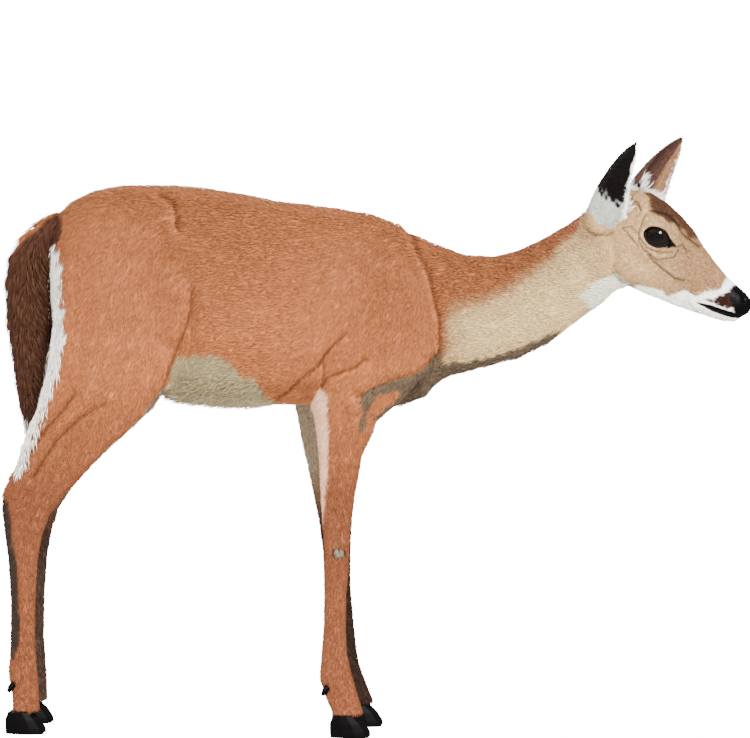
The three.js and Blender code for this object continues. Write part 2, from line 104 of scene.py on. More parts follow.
# %% Floor, sky and lamps
def plain_material(name, color, roughness):
    material = bpy.data.materials.new(name)
    material.use_nodes = True
    shader = material.node_tree.nodes["Principled BSDF"]
    shader.inputs["Base Color"].default_value = (*color, 1)
    shader.inputs["Roughness"].default_value = roughness
    shader.inputs["Specular IOR Level"].default_value = 0.15
    return material


FLOOR_RADIUS = 40
floor_shape = bmesh.new()
bmesh.ops.create_circle(floor_shape, cap_ends=True, radius=FLOOR_RADIUS, segments=64)
floor_mesh = bpy.data.meshes.new("floor")
floor_shape.to_mesh(floor_mesh)
floor_shape.free()
floor = bpy.data.objects.new("floor", floor_mesh)
floor_paint = plain_material("floor_paint", (0.86, 0.86, 0.86), 0.9)
floor.data.materials.append(floor_paint)
bpy.context.scene.collection.objects.link(floor)

SKY_LIGHT, SKY_MIRRORED, SKY_SEEN, FLOOR_SEEN = 2.7, 0.35, 20.0, 20.0
FLOOR_GREY, FLOOR_MIRRORED = 0.86, 0.12


def by_ray(tree, strength_socket, light, mirrored, seen):
    """One strength for the light it gives, one for its image in wet things, one for the picture."""
    path = tree.nodes.new("ShaderNodeLightPath")
    reflect = tree.nodes.new("ShaderNodeMapRange")
    reflect.inputs["To Min"].default_value = light
    reflect.inputs["To Max"].default_value = mirrored
    tree.links.new(path.outputs["Is Glossy Ray"], reflect.inputs["Value"])
    look = tree.nodes.new("ShaderNodeMapRange")
    look.inputs["To Max"].default_value = seen
    tree.links.new(path.outputs["Is Camera Ray"], look.inputs["Value"])
    tree.links.new(reflect.outputs["Result"], look.inputs["To Min"])
    tree.links.new(look.outputs["Result"], strength_socket)


world = bpy.data.worlds.new("pale_sky")
world.use_nodes = True
sky = world.node_tree.nodes["Background"]
sky.inputs["Color"].default_value = (1, 1, 1, 1)
by_ray(world.node_tree, sky.inputs["Strength"], SKY_LIGHT, SKY_MIRRORED, SKY_SEEN)
bpy.context.scene.world = world
paper = floor_paint.node_tree.nodes["Principled BSDF"]
paper.inputs["Emission Color"].default_value = (1, 1, 1, 1)
by_ray(floor_paint.node_tree, paper.inputs["Emission Strength"], 0.0, 0.0, FLOOR_SEEN)
by_ray(floor_paint.node_tree, paper.inputs["Base Color"], FLOOR_GREY, FLOOR_MIRRORED, FLOOR_GREY)


def lamp(name, place, size, power):
    data = bpy.data.lights.new(name, "AREA")
    data.shape = "DISK"
    data.size = size
    data.energy = power
    made = bpy.data.objects.new(name, data)
    made.location = place
    made.rotation_euler = (Vector((0, 0, 0.6)) - Vector(place)).to_track_quat("-Z", "Y").to_euler()
    bpy.context.scene.collection.objects.link(made)


lamp("key_lamp", (1.1, -3.3, 3.1), 1.25, 500)
lamp("fill_lamp", (-2.6, 2.8, 2.6), 2.4, 160)
print("stage set")

# %% [markdown]
# The neck bends and the head is turned, but their shape is easier to describe on a straight animal.
# `straight` unbends a point: it gives how far along the midline the point lies, how far to the left
# of it, and how high. The two eyes of the frame tell where the straight head is.

# %% Straight coordinates
HEAD_TURN = math.radians(12)
TURN_FROM, TURN_TO = 180 * MM, 335 * MM  # the midline bends between these
EYE_SPOT = np.array([484, 0, 829]) * MM  # the middle between the eyes on the straight animal
STEP = 4 * MM


def middle(node):
    low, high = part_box(node)
    return np.array((low + high) / 2)


def heading_at(s):
    t = np.clip((s - TURN_FROM) / (TURN_TO - TURN_FROM), 0, 1)
    return HEAD_TURN * t * t * (3 - 2 * t)


line_s = np.arange(-800 * MM, 800 * MM, STEP)
line_heading = heading_at(line_s)
half_way = heading_at(line_s[:-1] + STEP / 2)
line_x = line_s[0] + np.concatenate([[0], np.cumsum(np.cos(half_way)) * STEP])
line_y = np.concatenate([[0], -np.cumsum(np.sin(half_way)) * STEP])
eye_middle = (middle("eye_right") + middle("eye_left")) / 2
SHIFT = eye_middle - np.array([
    np.interp(EYE_SPOT[0], line_s, line_x), np.interp(EYE_SPOT[0], line_s, line_y), EYE_SPOT[2]])


def straight(points):
    """Distance along the midline, distance to its left and height of each point, in millimetres."""
    q = points - SHIFT
    s = q[:, 0].copy()
    for _ in range(6):
        angle = heading_at(s)
        ahead = (q[:, 0] - np.interp(s, line_s, line_x)) * np.cos(angle)
        ahead -= (q[:, 1] - np.interp(s, line_s, line_y)) * np.sin(angle)
        s = s + ahead
    angle = heading_at(s)
    left = (q[:, 0] - np.interp(s, line_s, line_x)) * np.sin(angle)
    left += (q[:, 1] - np.interp(s, line_s, line_y)) * np.cos(angle)
    return np.stack([s, left, q[:, 2]], 1) / MM


def bent(directions, s_mm):
    """Turns directions of the straight animal to those of the bent one, at distances along it."""
    angle = heading_at(s_mm * MM)
    x = directions[:, 0] * np.cos(angle) + directions[:, 1] * np.sin(angle)
    y = -directions[:, 0] * np.sin(angle) + directions[:, 1] * np.cos(angle)
    return np.stack([x, y, directions[:, 2]], 1)


def unbent(directions, s_mm):
    """Turns directions of the bent animal back to those of the straight one."""
    angle = heading_at(s_mm * MM)
    x = directions[:, 0] * np.cos(angle) - directions[:, 1] * np.sin(angle)
    y = directions[:, 0] * np.sin(angle) + directions[:, 1] * np.cos(angle)
    return np.stack([x, y, directions[:, 2]], 1)


print("shift of the straight animal:", np.round(SHIFT, 4))

# %% [markdown]
# Some shapes are easier to give on the straight animal and to bend afterwards, such as the lids.

# %% Back to the bent animal
EYE_BALL = 24.0  # radius of the eyeball
EYE_WIDE, EYE_HIGH, EYE_TILT = 43.0, 31.0, math.radians(-22)  # the almond between the lids
EYE_SIDE = 30.0  # each eyeball's middle is this far from the midline


def place(points_mm):
    """World places of points given on the straight animal in millimetres."""
    p = np.asarray(points_mm, float)
    angle = heading_at(p[:, 0] * MM)
    x = np.interp(p[:, 0] * MM, line_s, line_x) + p[:, 1] * MM * np.sin(angle)
    y = np.interp(p[:, 0] * MM, line_s, line_y) + p[:, 1] * MM * np.cos(angle)
    return np.stack([x, y, p[:, 2] * MM], 1) + SHIFT


def almond(count, grow=0.0):
    """The edge of the lids as points (along, up) round the middle of the eye, in millimetres."""
    turn = np.linspace(0, 2 * np.pi, count, endpoint=False)
    along = (EYE_WIDE / 2 + grow) * np.cos(turn)
    rise = np.sin(turn)
    up = (EYE_HIGH / 2 + grow) * np.sign(rise) * np.abs(rise) ** 1.15
    c, s = math.cos(EYE_TILT), math.sin(EYE_TILT)
    return np.stack([along * c - up * s, along * s + up * c], 1)


def tube(path, radii, sides=8, closed=True):
    """Corners and faces of a tube round a path of points, with one radius for each point."""
    path = np.asarray(path, float)
    count = len(path)
    if closed:
        ahead = np.roll(path, -1, 0) - np.roll(path, 1, 0)
    else:
        ahead = np.gradient(path, axis=0)
    ahead /= np.linalg.norm(ahead, axis=1)[:, None]
    up = np.tile([0.0, 0.0, 1.0], (count, 1))
    up[np.abs(ahead[:, 2]) > 0.9] = [0.0, 1.0, 0.0]
    if closed:
        up = path - path.mean(0)
    across = np.cross(ahead, up)
    across /= np.linalg.norm(across, axis=1)[:, None]
    up = np.cross(across, ahead)
    turn = np.linspace(0, 2 * np.pi, sides, endpoint=False)
    rings = across[:, None] * np.cos(turn)[None, :, None] + up[:, None] * np.sin(turn)[None, :, None]
    corners = (path[:, None] + rings * np.asarray(radii, float)[:, None, None]).reshape(-1, 3)
    faces = []
    for i in range(count if closed else count - 1):
        for j in range(sides):
            k, m = (i + 1) % count, (j + 1) % sides
            faces.append((i * sides + j, i * sides + m, k * sides + m, k * sides + j))
    if not closed:
        faces.append(tuple(range(sides)))
        faces.append(tuple((count - 1) * sides + j for j in reversed(range(sides))))
    return corners, faces


def lid_path(side, out, grow, count=48):
    """The lid's edge, laid on a ball that is `out` millimetres larger than the eyeball."""
    edge = almond(count, grow)
    deep = np.sqrt(np.maximum((EYE_BALL + out) ** 2 - (edge**2).sum(1), 1.0))
    u, z = EYE_SPOT[0] / MM + edge[:, 0], EYE_SPOT[2] / MM + edge[:, 1]
    return place(np.stack([u, side * (EYE_SIDE + deep), z], 1))


LID_THICK = 3.4  # flesh of the lid over the eyeball
LID_BROAD = 7.5  # how far each lid reaches back over the ball


def lid_shell(side, count=48):
    """A closed ring of flesh that lies on the eyeball round the almond."""
    rings = [lid_path(side, 0.2, -0.4, count), lid_path(side, LID_THICK * 0.7, -0.2, count)]
    rings += [lid_path(side, LID_THICK, LID_BROAD * k / 4, count) for k in (1, 2, 3)]
    rings += [lid_path(side, -2.0, LID_BROAD * 0.75, count)]
    corners = np.concatenate(rings)
    faces = []
    for k in range(len(rings)):
        for i in range(count):
            j, m = (i + 1) % count, (k + 1) % len(rings)
            faces.append((k * count + i, k * count + j, m * count + j, m * count + i))
    return corners, faces


print("lid edge at", np.round(lid_path(-1, 1, 1)[0], 3))

# %% [markdown]
# The skin is one surface with no seam. The regions of flesh are copied and joined, two soft rolls
# for the lids are laid round each eye opening, and a voxel remesh melts all of it together, which
# also closes the hairline cuts between the regions. Hooves, dewclaws and eyes are hard or wet
# things of their own, so they are left out.

# %% Join the flesh and melt it
VOXEL = 2.2 * MM
HARD_PARTS = ("hoof", "dewclaw", "eye")
flesh = [name for name in sorted(nodes) if not name.startswith(HARD_PARTS)]


def new_object(name, mesh):
    made = bpy.data.objects.new(name, mesh)
    bpy.context.scene.collection.objects.link(made)
    return made


def applied(obj, kind, **settings):
    """Runs one modifier on a mesh object and keeps its result."""
    modifier = obj.modifiers.new(kind.lower(), kind)
    for key, value in settings.items():
        setattr(modifier, key, value)
    result = bpy.data.meshes.new_from_object(obj.evaluated_get(bpy.context.evaluated_depsgraph_get()))
    obj.modifiers.clear()
    old = obj.data
    obj.data = result
    bpy.data.meshes.remove(old)
    return obj


def add_shape(shape, corners, faces):
    """Adds corners and faces from arrays to a bmesh."""
    made = [shape.verts.new(c) for c in corners]
    for face in faces:
        shape.faces.new([made[i] for i in face])


melt = bmesh.new()
for name in flesh:
    melt.from_mesh(nodes[name].data)
for side in (-1, 1):
    add_shape(melt, *lid_shell(side))
bmesh.ops.recalc_face_normals(melt, faces=melt.faces)
skin_mesh = bpy.data.meshes.new("skin")
melt.to_mesh(skin_mesh)
melt.free()
skin = new_object("skin", skin_mesh)
applied(skin, "REMESH", mode="VOXEL", voxel_size=VOXEL)
print("melted skin:", len(skin.data.vertices), "vertices", round(time.time() - started, 1), "s")

# %% [markdown]
# The solids are flat-faced, and flesh isn't. Each point of the skin is drawn towards the mean of
# its neighbours many times, strongly on the trunk and gently on the head, ears and feet, and what
# that shrinks is measured, smoothed as well and given back. Then the skin sinks by the depth of
# the coat, which is deepest on the neck and rump and thin on the face and shanks.
#
# Each kind of region has its own values: how strongly it is smoothed, the depth of its coat, and
# the length and width of its tufts in millimetres, then how many tufts stand on a square
# centimetre.

# %% Smooth the flesh and sink it by the coat's depth
REGIONS = {
    "rump": (1.0, 3.8, 18, 1.5, 12),
    "belly": (1.0, 4.0, 18, 1.5, 12),
    "chest": (1.0, 3.8, 17, 1.5, 13),
    "thigh": (0.7, 3.4, 16, 1.4, 13),
    "shoulder": (0.7, 3.2, 15, 1.4, 14),
    "neck": (0.7, 3.8, 16, 1.4, 14),
    "gaskin": (0.22, 2.2, 11, 1.1, 19),
    "forearm": (0.22, 2.2, 11, 1.1, 19),
    "cannon": (0.12, 1.4, 8, 0.85, 26),
    "pastern": (0.08, 1.2, 6.5, 0.75, 28),
    "head": (0.10, 1.4, 5.5, 0.7, 36),
    "jaw": (0.12, 1.6, 6.5, 0.75, 34),
    "nose": (0.06, 0.3, 3, 0.5, 14),
    "ear": (0.09, 0.4, 6, 0.7, 26),
    "tail": (0.35, 6.0, 36, 1.8, 14),
}
SMOOTHINGS = 90


def read_points(mesh):
    flat = np.empty(len(mesh.vertices) * 3, np.float32)
    mesh.vertices.foreach_get("co", flat)
    return flat.reshape(-1, 3).astype(float)


def write_points(mesh, points):
    mesh.vertices.foreach_set("co", points.astype(np.float32).ravel())
    mesh.update()


def read_normals(mesh):
    flat = np.empty(len(mesh.vertices) * 3, np.float32)
    mesh.vertex_normals.foreach_get("vector", flat)
    return flat.reshape(-1, 3).astype(float)


def neighbours(mesh, most):
    """A table with up to `most` neighbours of each vertex; the vertex itself fills the rest."""
    ends = np.empty(len(mesh.edges) * 2, np.int32)
    mesh.edges.foreach_get("vertices", ends)
    ends = ends.reshape(-1, 2)
    own = np.concatenate([ends[:, 0], ends[:, 1]])
    other = np.concatenate([ends[:, 1], ends[:, 0]])
    order = np.argsort(own, kind="stable")
    own, other = own[order], other[order]
    first = np.searchsorted(own, np.arange(len(mesh.vertices)))
    slot = np.arange(len(own)) - first[own]
    fits = slot < most
    table = np.repeat(np.arange(len(mesh.vertices))[:, None], most, 1)
    table[own[fits], slot[fits]] = other[fits]
    return table


def spread(values, table, rate, times):
    """Draws each vertex's value towards the mean of its neighbours' values, again and again."""
    values = values.astype(np.float32)
    rate = np.asarray(rate, np.float32)
    if values.ndim > 1 and rate.ndim == 1:
        rate = rate[:, None]
    for _ in range(times):
        mean = values[table[:, 0]]
        for column in range(1, table.shape[1]):
            mean = mean + values[table[:, column]]
        values = values + rate * (mean / table.shape[1] - values)
    return values.astype(float)


def nearest_region(points):
    """For each point the index of the flesh node whose surface is nearest."""
    corners, faces, owner = [], [], []
    for index, name in enumerate(flesh):
        mesh = nodes[name].data
        start = len(corners)
        corners += [v.co for v in mesh.vertices]
        faces += [[start + i for i in p.vertices] for p in mesh.polygons]
        owner += [index] * len(mesh.polygons)
    tree = BVHTree.FromPolygons(corners, faces)
    return np.array([owner[tree.find_nearest(p)[2]] for p in points.tolist()])


def region_values(owner, column):
    per_node = np.array([REGIONS[name.split("_")[0]][column] for name in flesh], float)
    return per_node[owner]


table = neighbours(skin.data, 6)
shape0 = read_points(skin.data)
print("neighbours", round(time.time() - started, 1), "s")
owner = nearest_region(shape0)
print("owners", round(time.time() - started, 1), "s")
softness = spread(region_values(owner, 0), table, 0.9, 12)
shape1 = spread(shape0, table, softness, SMOOTHINGS)
shape1 = shape1 + spread(shape0 - shape1, table, softness, SMOOTHINGS)
write_points(skin.data, shape1)
depth = spread(region_values(owner, 1), table, 0.9, 30)
print("smoothed", round(time.time() - started, 1), "s")
write_points(skin.data, shape1 - read_normals(skin.data) * depth[:, None] * MM)
print("sunk by", round(depth.min(), 1), "to", round(depth.max(), 1), "mm", round(time.time() - started, 1), "s")

# %% [markdown]
# Under the coat lie muscles and bones. Long shallow hollows are pressed along them: in front of the
# shoulder, behind the elbow, before the hip, along the tendons above the hock and behind the shin.
# A hollow follows a short line seen from the side and fades to both sides of it, so the same lines
# serve the doe's left. A negative depth raises a ridge. All values are in millimetres.

# %% Hollows and folds
TRUNK = ("rump", "belly", "chest", "thigh", "shoulder", "neck", "forearm", "gaskin")
HOLLOWS = [
    # points (along, up), half width, depth, how dark the painted shade along the hollow is, regions
    ([(58, 836), (92, 770), (112, 690), (112, 640), (98, 626), (74, 606), (36, 594), (6, 580),
      (-20, 566)], 10, 4.0, 0.34, TRUNK),
    ([(-40, 668), (-67, 643), (-85, 617), (-100, 605), (-120, 590), (-134, 574), (-160, 556)], 9, 4.0, 0.36,
     TRUNK),
    ([(-6, 630), (-22, 615), (-46, 606), (-70, 596), (-80, 580)], 7, 3.0, 0.34, TRUNK),
    ([(-76, 617), (-78, 596), (-82, 572)], 6, 2.4, 0.3, TRUNK),
    ([(-350, 893), (-326, 880), (-319, 862), (-317, 840)], 9, 3.2, 0.34, TRUNK),
    ([(-292, 738), (-293, 708), (-303, 675), (-320, 640), (-339, 592), (-362, 545)], 12, 5.5, 0.34,
     TRUNK),
    ([(-360, 575), (-400, 500), (-440, 462)], 8, 2.4, 0.0, ("thigh", "gaskin")),
    ([(-487, 570), (-500, 550), (-536, 510), (-560, 478), (-590, 440)], 8, 3.4, 0.32, TRUNK),
    ([(-440, 552), (-480, 528), (-520, 490), (-560, 428)], 8, 3.0, 0.3, TRUNK),
    ([(20, 640), (10, 590), (-2, 520)], 12, 1.6, 0.0, ("shoulder", "forearm")),
    ([(362, 765), (330, 735), (250, 705)], 18, 3.0, 0.0, ("neck", "head")),
    # A negative depth raises a ridge: the brisket, the lower line of the neck, the throat and jaw.
    ([(10, 548), (46, 548), (80, 566)], 20, -7.0, 0.0, ("chest", "neck")),
    ([(130, 600), (200, 614), (262, 632), (330, 672), (390, 708)], 20, -4.0, 0.0, ("neck", "chest")),
    ([(390, 708), (412, 718), (470, 708), (530, 694)], 14, -5.0, 0.0, ("neck", "head", "jaw")),
]
CREASE_SHADE_WIDTH = 2.8  # half width of the painted shade along a hollow


def line_distance(points, line):
    """Distance of each 2-D point from a line through a few 2-D points."""
    best = np.full(len(points), np.inf)
    for a, b in zip(np.asarray(line[:-1], float), np.asarray(line[1:], float)):
        along = b - a
        t = np.clip((points - a) @ along / (along @ along), 0, 1)
        best = np.minimum(best, np.linalg.norm(points - a - t[:, None] * along, axis=1))
    return best


def node_mask(owner, kinds):
    per_node = np.array([name.split("_")[0] in kinds for name in flesh], float)
    return per_node[owner]


points = read_points(skin.data)
at = straight(points)
side_view = at[:, [0, 2]]
press = np.zeros(len(points))
for line, half, deep, _, kinds in HOLLOWS:
    mask = spread(node_mask(owner, kinds), table, 0.9, 10)
    press += deep * mask * np.exp(-((line_distance(side_view, line) / half) ** 2))
write_points(skin.data, points - read_normals(skin.data) * press[:, None] * MM)
print("pressed up to", round(press.max(), 1), "mm")

# %% [markdown]
# The face has finer forms: the crease over the brow, the folds behind and under the eye, the line from the cheek to
# the lips, the mouth and the nostrils. The mesh of the head is divided once more so that it can hold them. The same
# lines are darkened later with painted shade, as shade falls in a fold.

# %% Folds of the face
FOLDS = [
    # points (along, up), half width, depth, how dark the painted shade along the fold is
    ([(470, 872), (496, 866), (511, 851), (523, 832), (536, 821), (546, 813)], 2.6, 1.9, 0.75),
    ([(516, 813), (524, 817), (530, 804)], 2.0, 1.2, 0.6),
    ([(466, 866), (460, 852), (455, 838), (454, 822), (461, 810), (474, 800)], 2.4, 1.5, 0.65),
    ([(474, 800), (485, 791), (511, 796), (517, 808)], 2.4, 1.6, 0.65),
    ([(457, 826), (467, 812), (485, 805), (508, 804)], 2.2, 1.4, 0.6),
    ([(427, 844), (440, 846), (452, 836)], 2.2, 1.3, 0.6),
    ([(427, 843), (441, 828), (453, 813)], 2.2, 1.3, 0.6),
    ([(470, 800), (478, 789), (494, 775), (511, 761), (525, 758)], 2.8, 2.0, 0.65),
    ([(406, 767), (421, 753), (438, 744)], 3.6, 2.6, 0.6),
    ([(365, 864), (364, 845), (379, 832), (396, 830), (407, 835)], 3.2, 2.2, 0.6),
    ([(443, 902), (435, 897), (438, 889), (449, 884), (456, 872)], 2.4, 1.8, 0.65),
    ([(428, 892), (436, 882), (452, 880)], 2.4, 1.4, 0.5),
    ([(530, 722), (538, 712), (547, 703)], 2.2, 1.0, 0.5),
    ([(546, 721), (575, 710), (600, 703), (618, 696)], 2.4, 2.6, 0.0),
]
FACE_FROM = 395  # the head is divided more finely from here on
NOSTRIL = np.array([620, 13, 727])
NOSTRIL_SIZE = np.array([6.0, 3.2, 4.2])
NOSTRIL_DEEP = 5.5

fine = bmesh.new()
fine.from_mesh(skin.data)
head_edges = [
    edge for edge, far in zip(fine.edges, straight(np.array([e.verts[0].co for e in fine.edges]))[:, 0] > FACE_FROM)
    if far
]
bmesh.ops.subdivide_edges(fine, edges=head_edges, cuts=1, use_grid_fill=True)
fine.to_mesh(skin.data)
fine.free()
fine_table = neighbours(skin.data, 6)
points = read_points(skin.data)
at = straight(points)
on_face = np.clip((at[:, 0] - FACE_FROM) / 10, 0, 1)
points = spread(points, fine_table, 0.5 * on_face, 6)
press = np.zeros(len(points))
mirrored = np.stack([at[:, 0], np.abs(at[:, 1]), at[:, 2]], 1)
flank = np.clip((mirrored[:, 1] - 6) / 6, 0, 1)
for line, half, deep, _ in FOLDS:
    press += deep * flank * np.exp(-((line_distance(at[:, [0, 2]], line) / half) ** 2))
press *= (at[:, 0] > 350) * (mirrored[:, 1] < 66)
press += NOSTRIL_DEEP * np.exp(-(((mirrored - NOSTRIL) / NOSTRIL_SIZE) ** 2).sum(1))
write_points(skin.data, points - read_normals(skin.data) * press[:, None] * MM)
print("folded the face:", len(points), "corners", round(time.time() - started, 1), "s")

# %% [markdown]
# The melted mesh is equally fine everywhere. The trunk needs few triangles, the face and feet need
# many, so the surface is thinned out where it is flat.

# %% Thin the mesh out
SKIN_FACES = 185000
faces_now = sum(len(p.vertices) - 2 for p in skin.data.polygons)
applied(skin, "DECIMATE", ratio=SKIN_FACES / faces_now, use_collapse_triangulate=True)
for polygon in skin.data.polygons:
    polygon.use_smooth = True
print("skin faces:", faces_now, "->", len(skin.data.polygons), round(time.time() - started, 1), "s")

# %% [markdown]
# The unwrap for the finished colours follows the skin's own shape.

# %% Unwrap
def select_only(obj):
    for other in bpy.context.view_layer.objects:
        other.select_set(other == obj)
    bpy.context.view_layer.objects.active = obj


skin.data.uv_layers.new(name="OFBake")
select_only(skin)
bpy.ops.object.mode_set(mode="EDIT")
bpy.ops.mesh.select_all(action="SELECT")
bpy.ops.uv.smart_project(angle_limit=math.radians(66), island_margin=0.002)
bpy.ops.object.mode_set(mode="OBJECT")
print("unwrapped", round(time.time() - started, 1), "s")

# %% [markdown]
# The thinned skin gets its facts again: which region each corner belongs to, where it lies on the
# straight animal, and which way its surface faces.

# %% Facts of the finished skin
skin_points = read_points(skin.data)
skin_normals = read_normals(skin.data)
skin_table = neighbours(skin.data, 8)
skin_owner = nearest_region(skin_points)
skin_at = straight(skin_points)
print("skin corners:", len(skin_points), round(time.time() - started, 1), "s")

# %% [markdown]
# The ears are cupped. Each has its own axes: up to the tip, the way the cup opens, and across. A
# point's height, its turn round the cup and whether it is on the back or in the cup say which
# hair grows there.

# %% The ears' own axes
EAR_HALF, EAR_BOW, EAR_ROOT_SPAN, EAR_TIP_SPAN = 33.0, 8.0, 2.75, 1.15
EARS = {
    "right": dict(side=-1, root=(362, 44, 853), tip=(468, 126, 984), inward=1.0),
    "left": dict(side=1, root=(391, 44, 858), tip=(484, 128, 990), inward=0.6),
}


def ear_axes(make):
    mirror = np.array([1, make["side"], 1])
    root = np.array(make["root"]) * mirror
    up = np.array(make["tip"]) * mirror - root
    length = np.linalg.norm(up)
    up = up / length
    opens = np.array([1, -make["side"] * make["inward"], 0.0])
    opens -= up * (opens @ up)
    opens /= np.linalg.norm(opens)
    return root, up, opens, np.cross(up, opens), length


def ear_facts(at, facing):
    """Height 0 to 1, nearness to an edge from -1 inner to 1 front, and 1 in the cup or 0 on the back."""
    height, rim, cup = np.zeros(len(at)), np.zeros(len(at)), np.zeros(len(at))
    for make in EARS.values():
        root, up, opens, across, length = ear_axes(make)
        mine = at[:, 1] * make["side"] > 0
        d = at[mine] - root
        h = np.clip(d @ up / length, 0, 1)
        blend = np.minimum(1, h * 1.35) ** 0.7
        span = EAR_ROOT_SPAN + (EAR_TIP_SPAN - EAR_ROOT_SPAN) * blend
        broad = 3 + EAR_HALF * np.sin(np.pi * np.minimum(1, 0.2 + 0.8 * h**0.85)) ** 0.75
        radius = broad / np.sin(np.minimum(span, np.pi / 2))
        out = d @ opens - (radius - EAR_BOW * np.sin(np.pi * h))
        aside = d @ across
        turn = np.arctan2(aside, -out) / span * make["side"]
        away = np.stack([out, aside], 1) / np.maximum(np.hypot(out, aside), 1e-6)[:, None]
        face_out = facing[mine] @ opens * away[:, 0] + facing[mine] @ across * away[:, 1]
        height[mine], rim[mine], cup[mine] = h, np.clip(turn, -1, 1), face_out < 0
    return height, rim, cup


print("ear length", round(ear_axes(EARS["right"])[4]), "mm")

# %% [markdown]
# The markings are painted by one function, which both the skin and every tuft of the coat ask for their colour. The
# same function also paints light and shade: the grey-brown shade under the neck and brisket, a dark strip behind
# the hind shanks, darker inner sides of the lower legs, darker hair along the hollows and folds, and a painted
# highlight on the middle of the flank. A patch is an outline seen from the side of the straight animal, in
# millimetres along and up, with a soft or ragged edge; it lies on both sides of the doe. The patches go on in
# order, like paint.

# %% Markings and painted shade
HAIR_SHARE = 0.54  # hair sends back this share of the light that its screen value would


def tone(red, green, blue, share=HAIR_SHARE):
    """A colour given as screen values of 0 to 255, in linear light."""
    c = np.array([red, green, blue]) / 255
    return share * np.where(c <= 0.04045, c / 12.92, ((c + 0.055) / 1.055) ** 2.4)


BODY = tone(209, 127, 78)
BACK = tone(186, 114, 70)
FLANK = tone(224, 136, 82)
LEG = tone(165, 97, 62)
LEG_INSIDE = tone(190, 166, 134)
LEG_PALE = tone(252, 197, 160, 0.76)
LEG_DARK = tone(74, 58, 48)
FACE = tone(228, 184, 130)
THROAT = tone(250, 213, 152, 0.62)
FACE_DARK = tone(179, 137, 96)
CHIN = tone(242, 238, 212, 0.85)
SHADE = tone(124, 104, 82)
CREAM = tone(238, 232, 216, 0.8)
WHITE = tone(254, 249, 236, 1)
BELLY_PALE = tone(209, 187, 140)
STRIPE = tone(96, 63, 43)
MUZZLE_BROWN = tone(58, 28, 20)
BLACK = tone(8, 6, 6)
EAR_BLACK = tone(22, 16, 15)
EAR_BASE = tone(224, 226, 214)
EAR_CUP = tone(94, 64, 54)
EAR_EDGE = tone(168, 124, 88)
TAIL_BROWN = tone(103, 66, 48)

# outline (along, up), colour, soft edge, ragged edge, regions
PATCHES = [
    ([(372, 878), (340, 832), (300, 790), (270, 761), (238, 737), (200, 719), (141, 704), (130, 690),
      (128, 653), (116, 600), (200, 560), (330, 640), (420, 700), (700, 640), (700, 980), (430, 980)],
     FACE, 9, 4, ("neck", "chest", "head", "jaw", "nose", "shoulder")),
    ([(310, 775), (270, 753), (238, 730), (200, 712), (146, 697), (134, 650), (124, 608), (200, 600),
      (340, 650), (400, 720), (380, 790), (350, 810)],
     THROAT, 60, 3, ("neck", "chest")),
    ([(520, 640), (500, 800), (490, 980), (700, 980), (700, 640)],
     FACE_DARK, 60, 2, ("head", "jaw", "nose")),
    ([(113, 642), (98, 626), (82, 608), (66, 601), (36, 593), (4, 580), (-14, 568), (-10, 545),
      (-22, 506), (-10, 508), (-4, 540), (6, 560), (24, 571), (42, 573), (50, 569), (36, 556),
      (20, 541), (8, 530), (60, 500), (120, 520), (300, 600), (310, 674), (262, 650), (200, 629),
      (150, 620), (118, 616)],
     SHADE, 4, 2, ("neck", "chest", "shoulder", "forearm")),
    ([(412, 768), (428, 752), (418, 728), (400, 700), (376, 690), (366, 712), (352, 731), (366, 747),
      (396, 763)],
     CHIN, 3, 3, ("neck", "head", "jaw")),
    ([(424, 744), (444, 747), (470, 744), (484, 739), (498, 733), (514, 738), (530, 740), (545, 733),
      (568, 739), (585, 746), (590, 760), (596, 776), (640, 770), (650, 690), (560, 650), (420, 680),
      (412, 716)],
     WHITE, 2, 3, ("neck", "head", "jaw", "nose")),
    ([(456, 903), (478, 908), (510, 896), (530, 872), (552, 848), (548, 830), (540, 824), (521, 839),
      (503, 853), (486, 863), (474, 870), (469, 884)],
     STRIPE, 4, 2.5, ("head",)),
    ([(560, 727), (574, 729), (590, 736), (604, 748), (616, 760), (640, 740), (600, 712), (580, 716)],
     MUZZLE_BROWN, 2, 1.5, ("head", "jaw", "nose")),
    ([(-323, 626), (-289, 633), (-266, 633), (-243, 628), (-216, 608), (-195, 592), (-180, 572),
      (-160, 552), (-160, 520), (-338, 530), (-345, 566)],
     BELLY_PALE, 6, 5, ("belly", "rump", "thigh")),
    ([(-521, 860), (-512, 847), (-514, 831), (-522, 813), (-530, 798), (-560, 790), (-560, 860)],
     TAIL_BROWN, 3, 2, ("rump", "thigh")),
    ([(-528, 812), (-518, 780), (-516, 740), (-512, 690), (-515, 640), (-522, 600), (-536, 556),
      (-554, 512), (-585, 440), (-640, 430), (-640, 812)],
     WHITE, 4, 9, ("thigh", "rump", "gaskin")),
    # A strip of painted shade down the back of the hind shanks.
    ([(-640, 392), (-604, 390), (-597, 343), (-590, 293), (-585, 227), (-583, 185), (-586, 152),
      (-594, 122), (-640, 118)],
     LEG_DARK, 3, 1, ("cannon", "gaskin")),
    ([(-88, 572), (-76, 578), (-69, 566), (-68, 500), (-70, 442), (-75, 393), (-80, 341), (-90, 393),
      (-120, 450), (-98, 550)],
     LEG_PALE, 3, 1, ("outer_forearm", "outer_shoulder")),
]
REAR_PATCH = 10  # the white on the back of the thighs
FAR_LEG_BACK = 32  # the left foreleg leans back by this much where its pale strip is
FORE_AND_HIND = -200  # the forelegs stand ahead of this and the hind legs behind it
NOSE_TIP = np.array([640, 0, 700])


def wobble(at, size, seed):
    """Smooth noise of about -1 to 1 from a few waves, with bumps about `size` millimetres wide."""
    waves = np.random.default_rng(seed)
    total = np.zeros(len(at))
    for _ in range(7):
        way = waves.normal(size=3)
        way *= waves.uniform(0.6, 1.7) * np.pi / size / np.linalg.norm(way)
        total += np.sin(at @ way + waves.uniform(0, 2 * np.pi))
    return total / 3.2


